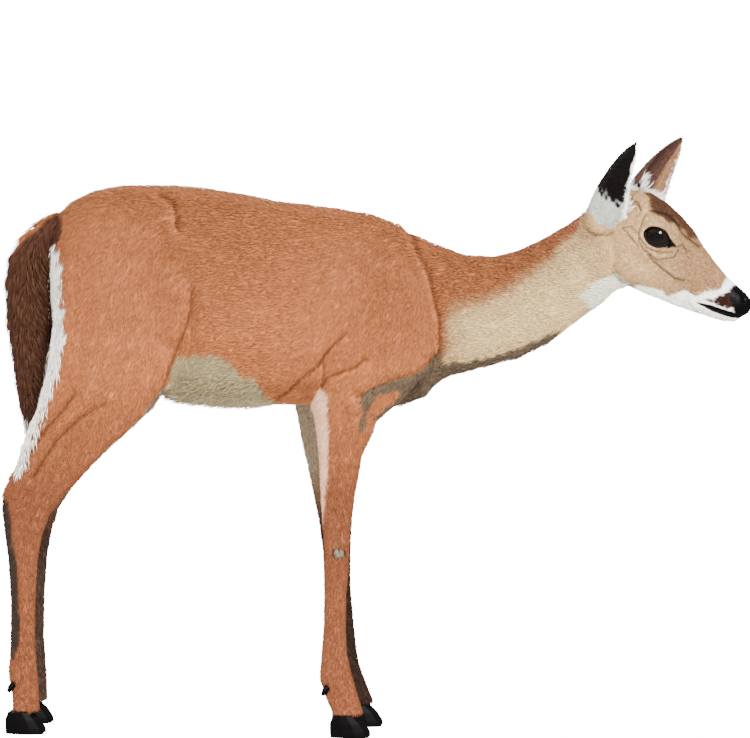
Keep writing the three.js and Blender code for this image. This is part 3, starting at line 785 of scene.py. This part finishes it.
def depth_inside(points, outline):
    """Distance of 2-D points from an outline, positive inside it."""
    corners = np.asarray(outline, float)
    inside = np.zeros(len(points), bool)
    for a, b in zip(corners, np.roll(corners, -1, 0)):
        crosses = (a[1] > points[:, 1]) != (b[1] > points[:, 1])
        rise = b[1] - a[1] if b[1] != a[1] else 1e-9
        inside ^= crosses & (points[:, 0] < a[0] + (points[:, 1] - a[1]) / rise * (b[0] - a[0]))
    distance = line_distance(points, np.vstack([corners, corners[:1]]))
    return np.where(inside, distance, -distance)


def painted(under, over, amount):
    amount = np.clip(amount, 0, 1)[:, None]
    return under * (1 - amount) + over * amount


def kinds_of(owner, *kinds):
    return node_mask(owner, kinds) > 0


def coat_colour(at, facing, owner):
    """The colour of hair at points of the straight animal whose skin faces the given ways."""
    along, aside, up = at.T
    outer = np.sign(aside) * facing[:, 1]
    colour = np.tile(BODY, (len(at), 1))
    colour = painted(colour, FLANK, 0.9 * np.clip((720 - up) / 110, 0, 1))
    high = np.clip((up - 730) / 150, 0, 1) + 0.6 * kinds_of(owner, "neck", "head")
    colour = painted(colour, BACK, 0.9 * np.minimum(high, 1) + 0.12 * wobble(at, 120, 3))
    # The middle of the flank is lifted by a painted highlight, and the coat from the shoulder forward, above the
    # brisket, is a little darker.
    front = np.clip((along + 70) / 90, 0, 1) * np.clip((up - 610) / 80, 0, 1)
    side = np.exp(-(((up - 685) / 60) ** 2) - ((along + 200) / 110) ** 2)
    colour *= (1 - 0.14 * front + 0.12 * side)[:, None]
    # The legs, paler inside above; below, their inner sides are darkened with painted shade, darkest on the
    # forelegs.
    legs = kinds_of(owner, "forearm", "cannon", "pastern", "gaskin")
    on_leg = legs * 1.0 + (~legs & kinds_of(owner, "shoulder", "thigh")) * 1.0
    colour = painted(colour, LEG, on_leg * np.clip((600 - up) / 200, 0, 1))
    inner = on_leg * np.clip(-outer * 2.2 - 0.1, 0, 1) * np.clip((640 - up) / 60, 0, 1)
    colour = painted(colour, LEG_INSIDE, inner * np.clip((up - 330) / 120, 0, 1))
    inner = on_leg * np.clip(-outer * 2.2 + 0.25, 0, 1)
    painted_leg_shade = LEG_DARK * np.where(along > FORE_AND_HIND, 0.45, 1.0)[:, None]
    colour = painted(colour, painted_leg_shade, 0.95 * inner * np.clip((430 - up) / 120, 0, 1))
    # The small bare callus on the outside of each knee.
    knee_spot = np.hypot((along + 52) / 10, (up - 306) / 7.5)
    knee = kinds_of(owner, "cannon", "forearm") & (outer > 0)
    colour = painted(colour, LEG_DARK, knee * (1.25 - knee_spot) * 6)
    colour = painted(colour, LEG_INSIDE, knee * (0.85 - knee_spot) * 6)
    # The underside.
    for index, (outline, paint, soft, ragged, kinds) in enumerate(PATCHES):
        mine = kinds_of(owner, *[kind.removeprefix("outer_") for kind in kinds])
        if kinds[0].startswith("outer_"):
            mine &= outer > -0.1
        side_on = at[mine][:, [0, 2]]
        if kinds[0].startswith("outer_"):
            side_on[:, 0] += FAR_LEG_BACK * (aside[mine] > 0)
        inside = depth_inside(side_on, outline)
        if paint is SHADE:
            inside = np.where((aside[mine] > 0) & (side_on[:, 0] < 50), -9.0, inside)
        inside += ragged * wobble(at[mine] * [1, 1, 0.6], 11, 20 + index)
        colour[mine] = painted(colour[mine], paint, 0.5 + inside / soft)
    under = np.clip(-facing[:, 2] * 5 - 3.6, 0, 1) * kinds_of(owner, "belly", "rump", "thigh")
    colour = painted(colour, CREAM, under * np.clip((-185 - along) / 20, 0, 1) * (np.abs(aside) < 70))
    # Painted shade darkens the hair along the hollows, on the outer sides only, and along the folds of the face.
    for line, _, _, dark, kinds in HOLLOWS:
        if dark:
            near = line_distance(at[:, [0, 2]], line) / CREASE_SHADE_WIDTH
            painted_crease_shade = min(0.8, dark * 1.6) * np.exp(-(near**2)) * kinds_of(owner, *kinds) * (outer > 0)
            colour *= 1 - painted_crease_shade[:, None]
    on_face = kinds_of(owner, "head", "jaw", "neck") & (along > 350) & (np.abs(aside) < 66)
    for line, half, _, dark in FOLDS:
        near = line_distance(at[:, [0, 2]], line) / half
        painted_crease_shade = dark * np.exp(-((near / 0.8) ** 2)) * on_face
        colour *= 1 - painted_crease_shade[:, None]
    face = kinds_of(owner, "head", "jaw")
    crown = face * np.clip((up - 885) / 20, 0, 1) * np.clip((455 - along) / 30, 0, 1)
    colour = painted(colour, BODY, 0.6 * crown)
    # The ears: black above a pale base, with white hair along the front edge.
    ears = kinds_of(owner, "ear")
    height, rim, cup = ear_facts(at[ears], facing[ears])
    rough = 0.05 * wobble(at[ears], 8, 11)
    back = painted(np.tile(EAR_BASE, (ears.sum(), 1)), EAR_BLACK, 0.5 + (height + rough - 0.36 - 0.08 * rim) / 0.04)
    back = painted(back, WHITE, (0.5 + (rim - 0.84 + rough) / 0.06) * (height < 0.93))
    back = painted(back, EAR_CUP, (0.5 + (-0.72 - rim) / 0.06) * (height > 0.3))
    inner = painted(np.tile(EAR_CUP, (ears.sum(), 1)), EAR_EDGE, (rim - 0.35) / 0.12)
    inner = painted(inner, WHITE, 0.5 + (0.32 - height - 2 * rough) / 0.05)
    inner = painted(inner, EAR_BLACK, (height - 0.95) / 0.03)
    colour[ears] = np.where(cup[:, None] > 0, inner, back)
    # The tail, brown behind and white in front, with body colour along the top of its root.
    tail = kinds_of(owner, "tail")
    rough = wobble(at[tail], 16, 5)
    brown = painted(np.tile(WHITE, (tail.sum(), 1)), TAIL_BROWN, 0.5 + (0.92 - facing[tail, 0] + 0.05 * rough) * 8)
    ridge = np.interp(along[tail], [-600, -587, -567, -547, -524], [784, 798, 818, 836, 851])
    brown = painted(brown, BODY, 0.5 + (up[tail] - ridge - 12 + 3 * rough) / 5)
    colour[tail] = painted(brown, WHITE, (516 - up[tail]) / 12)
    return colour


EYE_CORNER = [(494, 834), (507, 826), (516, 812), (505, 810), (488, 812)]
BLACK_NOSE = [(602, 750), (614, 752), (650, 745), (650, 690), (612, 697), (604, 712), (600, 730)]
LIP_LINE = [(545, 721), (575, 711), (600, 703), (614, 700)]
LIP_BLACK = ([545, 570, 600, 620], [1.2, 5.2, 5.4, 4.0])  # half width of the black lip along its line
LID_BLACK = 1.6  # how far the bare black edge reaches past the almond


def bare_skin(at, owner):
    """1 on the hairless nose, lips and lid edges, 0 elsewhere."""
    mine = kinds_of(owner, "nose", "head", "jaw")
    side_on = at[mine][:, [0, 2]]
    lips = np.interp(side_on[:, 0], *LIP_BLACK) - line_distance(side_on, LIP_LINE)
    almond_edge = almond(40, LID_BLACK) + EYE_SPOT[[0, 2]] / MM
    most = np.clip(0.5 + depth_inside(side_on, BLACK_NOSE) / 2, 0, 1)
    for inside in (lips, depth_inside(side_on, EYE_CORNER), depth_inside(side_on, almond_edge)):
        most = np.maximum(most, np.clip(0.5 + inside / 1.2, 0, 1))
    bare = np.zeros(len(at))
    bare[mine] = most
    return bare


def set_attribute(mesh, name, kind, values):
    layer = mesh.attributes.new(name, kind, "POINT")
    layer.data.foreach_set("color" if kind == "FLOAT_COLOR" else "value", values.astype(np.float32).ravel())


skin_facing = unbent(skin_normals, skin_at[:, 0])
skin_colour = coat_colour(skin_at, skin_facing, skin_owner)
skin_bare = bare_skin(skin_at, skin_owner)
skin_colour = painted(skin_colour, BLACK, skin_bare)
set_attribute(skin.data, "hair_colour", "FLOAT_COLOR", np.hstack([skin_colour, np.ones((len(skin_colour), 1))]))
set_attribute(skin.data, "bare", "FLOAT", skin_bare)
print("painted the skin", round(time.time() - started, 1), "s")

# %% [markdown]
# The skin's material shows the markings, with the short flat hair as a fine stroked bump. The bare
# nose is smoother and moist, with small pebbles instead of strokes.

# %% Skin material
def link(tree, source, output, target, socket):
    tree.links.new(source.outputs[output], target.inputs[socket])


def node(tree, kind, **settings):
    made = tree.nodes.new(kind)
    for key, value in settings.items():
        if key in made.inputs:
            made.inputs[key].default_value = value
        else:
            setattr(made, key, value)
    return made


def furry(name, roughness, bump_height, bare=False):
    material = bpy.data.materials.new(name)
    material.use_nodes = True
    tree = material.node_tree
    shader = tree.nodes["Principled BSDF"]
    shader.inputs["Roughness"].default_value = roughness
    shader.inputs["Specular IOR Level"].default_value = 0.08
    place_at = node(tree, "ShaderNodeTexCoord")
    colour = node(tree, "ShaderNodeAttribute", attribute_name="hair_colour")
    strokes = node(tree, "ShaderNodeTexNoise", Scale=420.0, Detail=3.0)
    stretch = node(tree, "ShaderNodeMapping")
    stretch.inputs["Scale"].default_value = (0.35, 1.0, 0.6)
    link(tree, place_at, "Object", stretch, "Vector")
    link(tree, stretch, "Vector", strokes, "Vector")
    shade = node(tree, "ShaderNodeMapRange")
    shade.inputs["To Min"].default_value = 0.72
    shade.inputs["To Max"].default_value = 1.12
    link(tree, strokes, "Fac", shade, "Value")
    mix = node(tree, "ShaderNodeVectorMath", operation="SCALE")
    link(tree, colour, "Color", mix, 0)
    link(tree, shade, "Result", mix, "Scale")
    link(tree, mix, 0, shader, "Base Color")
    bump = node(tree, "ShaderNodeBump", Strength=0.6, Distance=bump_height)
    link(tree, strokes, "Fac", bump, "Height")
    link(tree, bump, "Normal", shader, "Normal")
    if bare:
        naked = node(tree, "ShaderNodeAttribute", attribute_name="bare")
        wet = node(tree, "ShaderNodeMapRange")
        wet.inputs["To Min"].default_value = roughness
        wet.inputs["To Max"].default_value = 0.42
        link(tree, naked, "Fac", wet, "Value")
        link(tree, wet, "Result", shader, "Roughness")
        pebbles = node(tree, "ShaderNodeTexVoronoi", Scale=620.0)
        link(tree, place_at, "Object", pebbles, "Vector")
        choose = node(tree, "ShaderNodeMix", data_type="FLOAT")
        link(tree, naked, "Fac", choose, 0)
        link(tree, strokes, "Fac", choose, 2)
        link(tree, pebbles, "Distance", choose, 3)
        link(tree, choose, 0, bump, "Height")
    return material


skin.data.materials.clear()
skin.data.materials.append(furry("skin_hide", 0.75, 0.0006, bare=True))
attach(skin, "root")
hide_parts(*flesh)
print("skin dressed")

# %% [markdown]
# Each eye is a ball as deep in the head as a real one, dark and wet, with a long level pupil like
# a grazing animal's. Its own flat map says how far each point is from the middle of the gaze.

# %% Eyes
def eye_material():
    material = bpy.data.materials.new("eye_wet")
    material.use_nodes = True
    tree = material.node_tree
    shader = tree.nodes["Principled BSDF"]
    shader.inputs["Roughness"].default_value = 0.05
    shader.inputs["IOR"].default_value = 1.27
    gaze = node(tree, "ShaderNodeUVMap", uv_map="gaze")
    squash = node(tree, "ShaderNodeMapping")
    squash.inputs["Location"].default_value = (-0.5, -0.5, 0)
    link(tree, gaze, "UV", squash, "Vector")
    size = node(tree, "ShaderNodeVectorMath", operation="LENGTH")
    link(tree, squash, "Vector", size, 0)
    ramp = node(tree, "ShaderNodeValToRGB")
    stops = ramp.color_ramp.elements
    stops[0].position, stops[0].color = 0.0, (0.0025, 0.002, 0.002, 1)
    stops[1].position, stops[1].color = 0.34, (0.004, 0.003, 0.003, 1)
    for at_place, colour in ((0.14, (0.0025, 0.002, 0.002, 1)), (0.18, (0.007, 0.0035, 0.0025, 1)),
                             (0.29, (0.005, 0.003, 0.0025, 1))):
        stops.new(at_place).color = colour
    link(tree, size, "Value", ramp, "Fac")
    link(tree, ramp, "Color", shader, "Base Color")
    return material


wet_eye = eye_material()


def finished(obj, body_slot, *replaced):
    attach(obj, "root")
    if replaced:
        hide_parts(*replaced)
    for face in obj.data.polygons:
        face.use_smooth = True
    return obj


for side_name, side in (("right", -1), ("left", 1)):
    centre = place([(EYE_SPOT[0] / MM, side * EYE_SIDE, EYE_SPOT[2] / MM)])[0]
    ball = bmesh.new()
    bmesh.ops.create_uvsphere(ball, u_segments=64, v_segments=40, radius=EYE_BALL * MM)
    bmesh.ops.rotate(ball, verts=ball.verts, matrix=Matrix.Rotation(math.pi / 2, 3, "X"))
    bmesh.ops.translate(ball, verts=ball.verts, vec=centre)
    mesh = bpy.data.meshes.new("eyeball_" + side_name)
    ball.to_mesh(mesh)
    ball.free()
    corners = read_points(mesh) - centre
    corners = unbent(corners, np.full(len(corners), EYE_SPOT[0] / MM)) / (EYE_BALL * MM)
    layer = mesh.uv_layers.new(name="gaze")
    loops = np.empty(len(mesh.loops), np.int32)
    mesh.loops.foreach_get("vertex_index", loops)
    flat = np.stack([corners[:, 0] * 0.3 + 0.5, corners[:, 2] * 0.5 + 0.5], 1)[loops]
    layer.data.foreach_set("uv", flat.astype(np.float32).ravel())
    mesh.materials.append(wet_eye)
    finished(new_object("eyeball_" + side_name, mesh), "eye", "eye_" + side_name)
print("eyes made")

# %% [markdown]
# The edge of each lid is bare and black, a thin moist roll that lies on the eyeball.

# %% Lid edges
rims = bmesh.new()
for side in (-1, 1):
    add_shape(rims, *tube(lid_path(side, 0.6, -0.6, 72), np.full(72, 1.5 * MM), sides=10))
rim_mesh = bpy.data.meshes.new("lid_edges")
rims.to_mesh(rim_mesh)
rims.free()
rim_mesh.materials.append(plain_material("lid_black", BLACK, 0.55))
finished(new_object("lid_edges", rim_mesh), "nose_skin")
print("lid edges made")

# %% [markdown]
# A hoof is horn, harder and smoother than hair. The claws and dewclaws are melted smooth one by one
# so that the two toes stay apart, and their soles stay flat on the floor. The horn is black with
# faint growth rings round it.

# %% Hooves
def horn_material():
    material = bpy.data.materials.new("horn_black")
    material.use_nodes = True
    tree = material.node_tree
    shader = tree.nodes["Principled BSDF"]
    shader.inputs["Roughness"].default_value = 0.5
    shader.inputs["Specular IOR Level"].default_value = 0.06
    place_at = node(tree, "ShaderNodeTexCoord")
    rings = node(tree, "ShaderNodeTexWave", Scale=110.0, Distortion=3.0, Detail=2.0)
    rings.bands_direction = "Z"
    link(tree, place_at, "Object", rings, "Vector")
    ramp = node(tree, "ShaderNodeValToRGB")
    ramp.color_ramp.elements[0].color = (*tone(8, 7, 7), 1)
    ramp.color_ramp.elements[1].color = (*tone(17, 14, 13), 1)
    link(tree, rings, "Fac", ramp, "Fac")
    link(tree, ramp, "Color", shader, "Base Color")
    bump = node(tree, "ShaderNodeBump", Strength=0.3, Distance=0.0004)
    link(tree, rings, "Fac", bump, "Height")
    link(tree, bump, "Normal", shader, "Normal")
    return material


HORN_VOXEL = 1.3 * MM
horn_names = [name for name in sorted(nodes) if name.startswith(("hoof", "dewclaw"))]
horn = bmesh.new()
for name in horn_names:
    one = new_object("horn_part", nodes[name].data.copy())
    applied(one, "REMESH", mode="VOXEL", voxel_size=HORN_VOXEL)
    rough = read_points(one.data)
    one_table = neighbours(one.data, 6)
    soft = spread(rough, one_table, 0.5, 14)
    soft = soft + spread(rough - soft, one_table, 0.5, 14)
    sole = rough[:, 2] < 1.2 * MM
    soft[sole, 2] = np.minimum(soft[sole, 2], rough[sole, 2])
    if name.startswith("hoof"):
        soft[:, 2] -= soft[:, 2].min()
    write_points(one.data, soft)
    horn.from_mesh(one.data)
    bpy.data.objects.remove(one)
horn_mesh = bpy.data.meshes.new("hooves")
horn.to_mesh(horn_mesh)
horn.free()
horn_mesh.materials.append(horn_material())
finished(new_object("hooves", horn_mesh), "horn", *horn_names)
print("hooves:", len(horn_mesh.vertices), "vertices", round(time.time() - started, 1), "s")

# %% [markdown]
# The coat is short and sleek. It is made of small solid tufts, each a flat spindle of six
# triangles that starts in the skin, lies along it and ends in a point just above it. The lie of
# the coat is combed: away from the nose over the face and neck, back along the trunk, down the
# legs and out along the ears and the tail. Each region names its way, and the ways are blended
# over the skin so that the coat turns without a parting.

# %% Comb the coat
COMBED = {
    "rump": (-1, 0, -0.35), "belly": (-1, 0, -0.2), "chest": (-1, 0, -0.35), "thigh": (-0.5, 0, -1),
    "shoulder": (-0.6, 0, -0.9), "gaskin": (-0.35, 0, -1), "forearm": (-0.12, 0, -1),
    "cannon": (-0.06, 0, -1), "pastern": (0.3, 0, -1), "tail": (-0.05, 0, -1),
}


def unit(vectors):
    return vectors / np.maximum(np.linalg.norm(vectors, axis=-1, keepdims=True), 1e-9)


lie = unit(skin_at - NOSE_TIP)
for kind, way in COMBED.items():
    lie[kinds_of(skin_owner, kind)] = unit(np.array(way, float))
for make in EARS.values():
    mine = kinds_of(skin_owner, "ear") & (skin_at[:, 1] * make["side"] > 0)
    lie[mine] = ear_axes(make)[1]
lie = spread(lie, skin_table, 0.9, 14)
lie -= skin_facing * (lie * skin_facing).sum(1)[:, None]
lie = unit(lie)
tuft_long = spread(region_values(skin_owner, 2), skin_table, 0.9, 8)
tuft_wide = spread(region_values(skin_owner, 3), skin_table, 0.9, 8)
tuft_dense = spread(region_values(skin_owner, 4), skin_table, 0.9, 4)
tuft_dense *= 1 - np.clip(skin_bare * 2, 0, 1)
print("combed", round(time.time() - started, 1), "s")

# %% [markdown]
# Roots are scattered over the triangles of the skin by area and density, always with the same
# seed. A root knows its place in the triangle, so it can take everything else from the triangle's
# corners: the way the skin faces, the lie, the length and width, and its spot on the skin's unwrap.

# %% Scatter the roots
TUFTS = 232000


def triangle_facts(mesh):
    corners = np.empty(len(mesh.loops), np.int32)
    mesh.loops.foreach_get("vertex_index", corners)
    spots = np.empty(len(mesh.loops) * 2, np.float32)
    mesh.uv_layers["OFBake"].data.foreach_get("uv", spots)
    return corners.reshape(-1, 3), spots.reshape(-1, 3, 2).astype(float)


def scatter(corners, density, count, random):
    """Draws triangles by area times density, and a place in each."""
    a, b, c = (skin_points[corners[:, i]] for i in range(3))
    area = np.linalg.norm(np.cross(b - a, c - a), axis=1) / 2
    weight = area * density[corners].mean(1)
    total = np.cumsum(weight)
    chosen = np.searchsorted(total, random.uniform(0, total[-1], count))
    r, q = np.sqrt(random.uniform(size=count)), random.uniform(size=count)
    return chosen, np.stack([1 - r, r * (1 - q), r * q], 1), weight.sum()


def at_roots(values, corners, chosen, shares):
    parts = values[corners[chosen]]
    if parts.ndim == 3:
        return (parts * shares[:, :, None]).sum(1)
    return (parts * shares).sum(1)


def roots_on(density, count):
    """Roots on the skin: place, facing, straight place, region, spot on the unwrap, and the draw."""
    chosen, shares, wanted = scatter(skin_corners, density, count, random)
    root = at_roots(skin_points, skin_corners, chosen, shares)
    facing = unit(at_roots(skin_normals, skin_corners, chosen, shares))
    spot = (skin_spots[chosen] * shares[:, :, None]).sum(1)
    print("tufts:", count, "the density asks for", int(wanted * 1e4))
    return root, facing, straight(root), skin_owner[skin_corners[chosen, 0]], spot, (chosen, shares)


random = np.random.default_rng(11)
skin_corners, skin_spots = triangle_facts(skin.data)
root, facing, root_at, root_owner, spot, draw = roots_on(tuft_dense, TUFTS)

# %% [markdown]
# A tuft is drawn from arrays: its root, a flat middle of three points and its tip. Roots are a
# little darker than tips, and no two tufts have quite the same colour.

# %% Grow tufts
def grown(name, root, facing, way, long, wide, lift, colour, spot, sink=0.7, arch=0.6, flatness=0.35):
    """Makes one joined mesh of tufts. Sizes are in millimetres, one value or one for each tuft."""
    count = len(root)
    long = np.broadcast_to(long, count)[:, None] * MM
    wide = np.broadcast_to(wide, count)[:, None] * MM
    lift = np.broadcast_to(lift, count)[:, None]
    across = np.cross(facing, way)
    start = root - facing * sink * MM
    middle_at = root + way * long * 0.42 + facing * long * lift * arch
    tip = root + way * long * np.sqrt(1 - lift**2) + facing * long * lift
    corners = np.stack([
        start,
        middle_at + across * wide / 2,
        middle_at - across * wide / 2,
        middle_at + facing * wide * flatness,
        tip,
    ], 1)
    base = np.arange(count)[:, None, None] * 5
    pattern = np.array([[0, 1, 3], [0, 3, 2], [0, 2, 1], [4, 3, 1], [4, 2, 3], [4, 1, 2]])
    faces = (base + pattern).reshape(-1, 3)
    mesh = bpy.data.meshes.new(name)
    mesh.vertices.add(count * 5)
    mesh.vertices.foreach_set("co", corners.astype(np.float32).ravel())
    mesh.loops.add(len(faces) * 3)
    mesh.loops.foreach_set("vertex_index", faces.astype(np.int32).ravel())
    mesh.polygons.add(len(faces))
    mesh.polygons.foreach_set("loop_start", np.arange(0, len(faces) * 3, 3, dtype=np.int32))
    shade = np.array([0.62, 0.95, 0.95, 1.0, 1.12])[None, :, None]
    tint = np.clip(colour[:, None] * shade, 0, 1)
    tint = np.concatenate([tint, np.ones((count, 5, 1))], 2)
    set_attribute(mesh, "hair_colour", "FLOAT_COLOR", tint.reshape(-1, 4))
    patch = np.array([[0, -1], [-1, 0], [1, 0], [0, 0], [0, 1]]) * 0.0015
    spots = (spot[:, None] + patch)[:, :, :].reshape(-1, 2)
    layer = mesh.uv_layers.new(name="OFBake")
    layer.data.foreach_set("uv", spots[faces.ravel()].astype(np.float32).ravel())
    mesh.update(calc_edges=True)
    mesh.validate()
    return mesh


coat_material = furry("coat_hair", 0.6, 0.0002)
way = bent(at_roots(lie, skin_corners, *draw), root_at[:, 0])
sway = random.normal(0, 0.11, len(way))[:, None]
way = unit(way - facing * (way * facing).sum(1)[:, None])
way = unit(way + np.cross(facing, way) * sway)
long = at_roots(tuft_long, skin_corners, *draw) * random.uniform(0.75, 1.25, len(way))
wide = at_roots(tuft_wide, skin_corners, *draw) * random.uniform(0.8, 1.25, len(way))
lift = np.clip(random.normal(0.13, 0.05, len(way)), 0.04, 0.32)
# The colour is that of the skin below the middle of the tuft, so that markings stay in place.
half_way_at = straight(root + way * long[:, None] * 0.45 * MM)
colour = coat_colour(
    half_way_at + random.normal(0, 0.6, root_at.shape), unbent(facing, root_at[:, 0]), root_owner)
colour *= random.uniform(0.86, 1.12, len(way))[:, None]
haired = bare_skin(half_way_at, root_owner) < 0.3
print("tufts ready", round(time.time() - started, 1), "s")

GROUPS = {
    "rump": ("rump",), "belly": ("belly",), "chest": ("chest",), "thighs": ("thigh",),
    "shoulders": ("shoulder",), "neck": ("neck",), "face": ("head", "jaw", "nose"), "ears": ("ear",),
    "upper_legs": ("gaskin", "forearm"), "feet": ("cannon", "pastern"), "tail": ("tail",),
}
SLOTS = {
    "neck": "pale_coat", "face": "pale_coat", "ears": "ear_coat", "upper_legs": "leg_coat",
    "feet": "leg_coat", "tail": "tail_coat",
}
MOST_TUFTS = 32000
for group, kinds in GROUPS.items():
    mine = np.flatnonzero(kinds_of(root_owner, *kinds) & haired)
    shares_of = np.array_split(mine, -(-len(mine) // MOST_TUFTS))
    for number, some in enumerate(shares_of):
        name = "coat_" + group + ("" if len(shares_of) == 1 else "_" + "abcdefgh"[number])
        mesh = grown(name, root[some], facing[some], way[some], long[some], wide[some], lift[some],
                     colour[some], spot[some])
        mesh.materials.append(coat_material)
        finished(new_object(name, mesh), SLOTS.get(group, "body_coat"))
        print(name, len(some), "tufts")
print("coat grown", round(time.time() - started, 1), "s")

# %% [markdown]
# In a few places longer hair breaks the outline. White hair from the back of the thighs flares over
# their sides and over the edge of the tail, a ragged fringe hangs under the belly, and white hair
# stands out of the ears. Each lock grows like a tuft of the coat, but its length, lift and colour
# are its own, and a weight over the skin says where it may stand.

# %% Long hair
def locks(name, weight, count, ways, long, wide, lift, paint, body_slot, sway=0.3):
    """Grows longer tufts where `weight` is over 0, each along one of a list of `ways`, or along the way
    given for its corner, on the straight animal."""
    root, facing, at, _, spot, draw = roots_on(weight, count)
    if isinstance(ways, list):
        way = np.array(ways, float)[random.integers(0, len(ways), count)]
    else:
        way = at_roots(ways, skin_corners, *draw)
    way = bent(way, at[:, 0]) + random.normal(0, sway, (count, 3))
    way = unit(way - facing * (way * facing).sum(1)[:, None])
    sizes = random.uniform(0.6, 1.2, count)
    lifts = np.clip(random.normal(lift, 0.3 * lift, count), 0.05, 0.85)
    colour = np.tile(paint, (count, 1)) * random.uniform(0.86, 1.0, count)[:, None]
    mesh = grown(name, root, facing, way, long * sizes, wide * sizes, lifts, colour, spot)
    mesh.materials.append(coat_material)
    finished(new_object(name, mesh), body_slot)


side_on = skin_at[:, [0, 2]]
skin_up = skin_at[:, 2]
rear_white = depth_inside(side_on, PATCHES[REAR_PATCH][0])
on_rear = kinds_of(skin_owner, "thigh", "rump", "gaskin") & (rear_white > -3) & (np.abs(skin_facing[:, 1]) > 0.25)
locks("locks_rear", 1.0 * on_rear, 3600, [(0.4, 0, -1), (0.2, 0, -1)], 24, 1.9, 0.14, WHITE, "pale_coat", 0.14)
tail_tip = kinds_of(skin_owner, "tail") & (skin_up < 532)
locks("locks_tail_tip", 1.0 * tail_tip, 300, [(-0.15, 0, -1)], 32, 2.0, 0.2, WHITE, "pale_coat", 0.15)
tail_back = kinds_of(skin_owner, "tail") & (skin_facing[:, 0] < 0.6) & (skin_up < 815) & (skin_up > 548)
tail_way = np.stack([np.clip(skin_facing[:, 0] + 0.5, -0.1, 0.45), 0 * skin_up, 0 * skin_up - 1], 1)
locks("locks_tail_back", 1.0 * tail_back, 2600, tail_way, 40, 2.2, 0.2, TAIL_BROWN, "tail_coat", 0.1)
hem = (skin_facing[:, 2] < -0.6) & (np.abs(skin_at[:, 0] + 262) < 80)
hem &= kinds_of(skin_owner, "belly", "rump") & (skin_up < 590)
locks("locks_belly", 1.0 * hem, 2600, [(-1, 0, -0.3), (-0.8, 0, -0.5)], 22, 1.8, 0.34, 0.95 * BELLY_PALE,
      "pale_coat", 0.14)
ears = kinds_of(skin_owner, "ear")
ear_height, ear_rim, ear_cup = (np.zeros(len(skin_at)) for _ in range(3))
ear_height[ears], ear_rim[ears], ear_cup[ears] = ear_facts(skin_at[ears], skin_facing[ears])
ear_way = np.zeros((len(skin_at), 3))
for make in EARS.values():
    _, up, opens, across, _ = ear_axes(make)
    mine = ears & (skin_at[:, 1] * make["side"] > 0)
    ear_way[mine] = up + 0.3 * opens + 0.3 * make["side"] * across * ear_rim[mine][:, None]
in_cup = ears & (ear_cup > 0) & (ear_height < 0.36)
locks("locks_ear_base", 1.0 * in_cup, 2900, ear_way, 22, 1.5, 0.34, WHITE, "ear_coat", 0.16)
at_edge = ears & (ear_rim > 0.8) & (ear_cup > 0) & (ear_height < 0.85)
locks("locks_ear_edge", 1.0 * at_edge, 400, ear_way, 8, 1.1, 0.2, WHITE, "ear_coat", 0.16)
print("long hair grown", round(time.time() - started, 1), "s")

# %% [markdown]
# Lashes stand along the upper lid, and a few stiff whiskers on the lips and chin. Both are single
# hairs, drawn as very narrow tufts.

# %% Lashes and whiskers
LASHES, WHISKERS = 26, 16
hair_root, hair_way, hair_long = [], [], []
for side in (-1, 1):
    lid = lid_path(side, 1.2, 0.4, 96)[2:2 + 44]
    picks = lid[np.linspace(0, len(lid) - 1, LASHES).astype(int)]
    hair_root += list(picks)
    fan = np.linspace(0.6, -0.5, LASHES)
    hair_way += [(f, side * 1.0, 0.15) for f in fan]
    hair_long += list(random.uniform(8, 11, LASHES))
    muzzle = np.stack([
        random.uniform(560, 615, WHISKERS), side * random.uniform(13, 20, WHISKERS),
        random.uniform(690, 716, WHISKERS)], 1)
    hair_root += list(place(muzzle))
    hair_way += [(random.uniform(-0.1, 0.5), side * 0.8, random.uniform(-0.9, -0.2)) for _ in range(WHISKERS)]
    hair_long += list(random.uniform(18, 30, WHISKERS))
hair_root = np.array(hair_root)
near = [int(np.argmin(((skin_points - r) ** 2).sum(1))) for r in hair_root]
whiskers = np.tile(np.arange(len(near)) % (LASHES + WHISKERS) >= LASHES, 1)
hair_root[whiskers] = skin_points[near][whiskers]
hair_way = unit(bent(np.array(hair_way), straight(hair_root)[:, 0]))
hair_face = unit(np.cross(hair_way, np.tile([0.1, 0.0, 1.0], (len(near), 1))))
first_loop = np.zeros(len(skin_points), int)
first_loop[skin_corners.ravel()] = np.arange(skin_corners.size)
hair_mesh = grown("lashes_and_whiskers", hair_root, hair_face, hair_way, np.array(hair_long), 0.7, 0.06,
                  np.tile(BLACK, (len(near), 1)), skin_spots.reshape(-1, 2)[first_loop[near]])
hair_mesh.materials.append(coat_material)
finished(new_object("lashes_and_whiskers", hair_mesh), "ear_coat")
print("lashes and whiskers:", len(near))
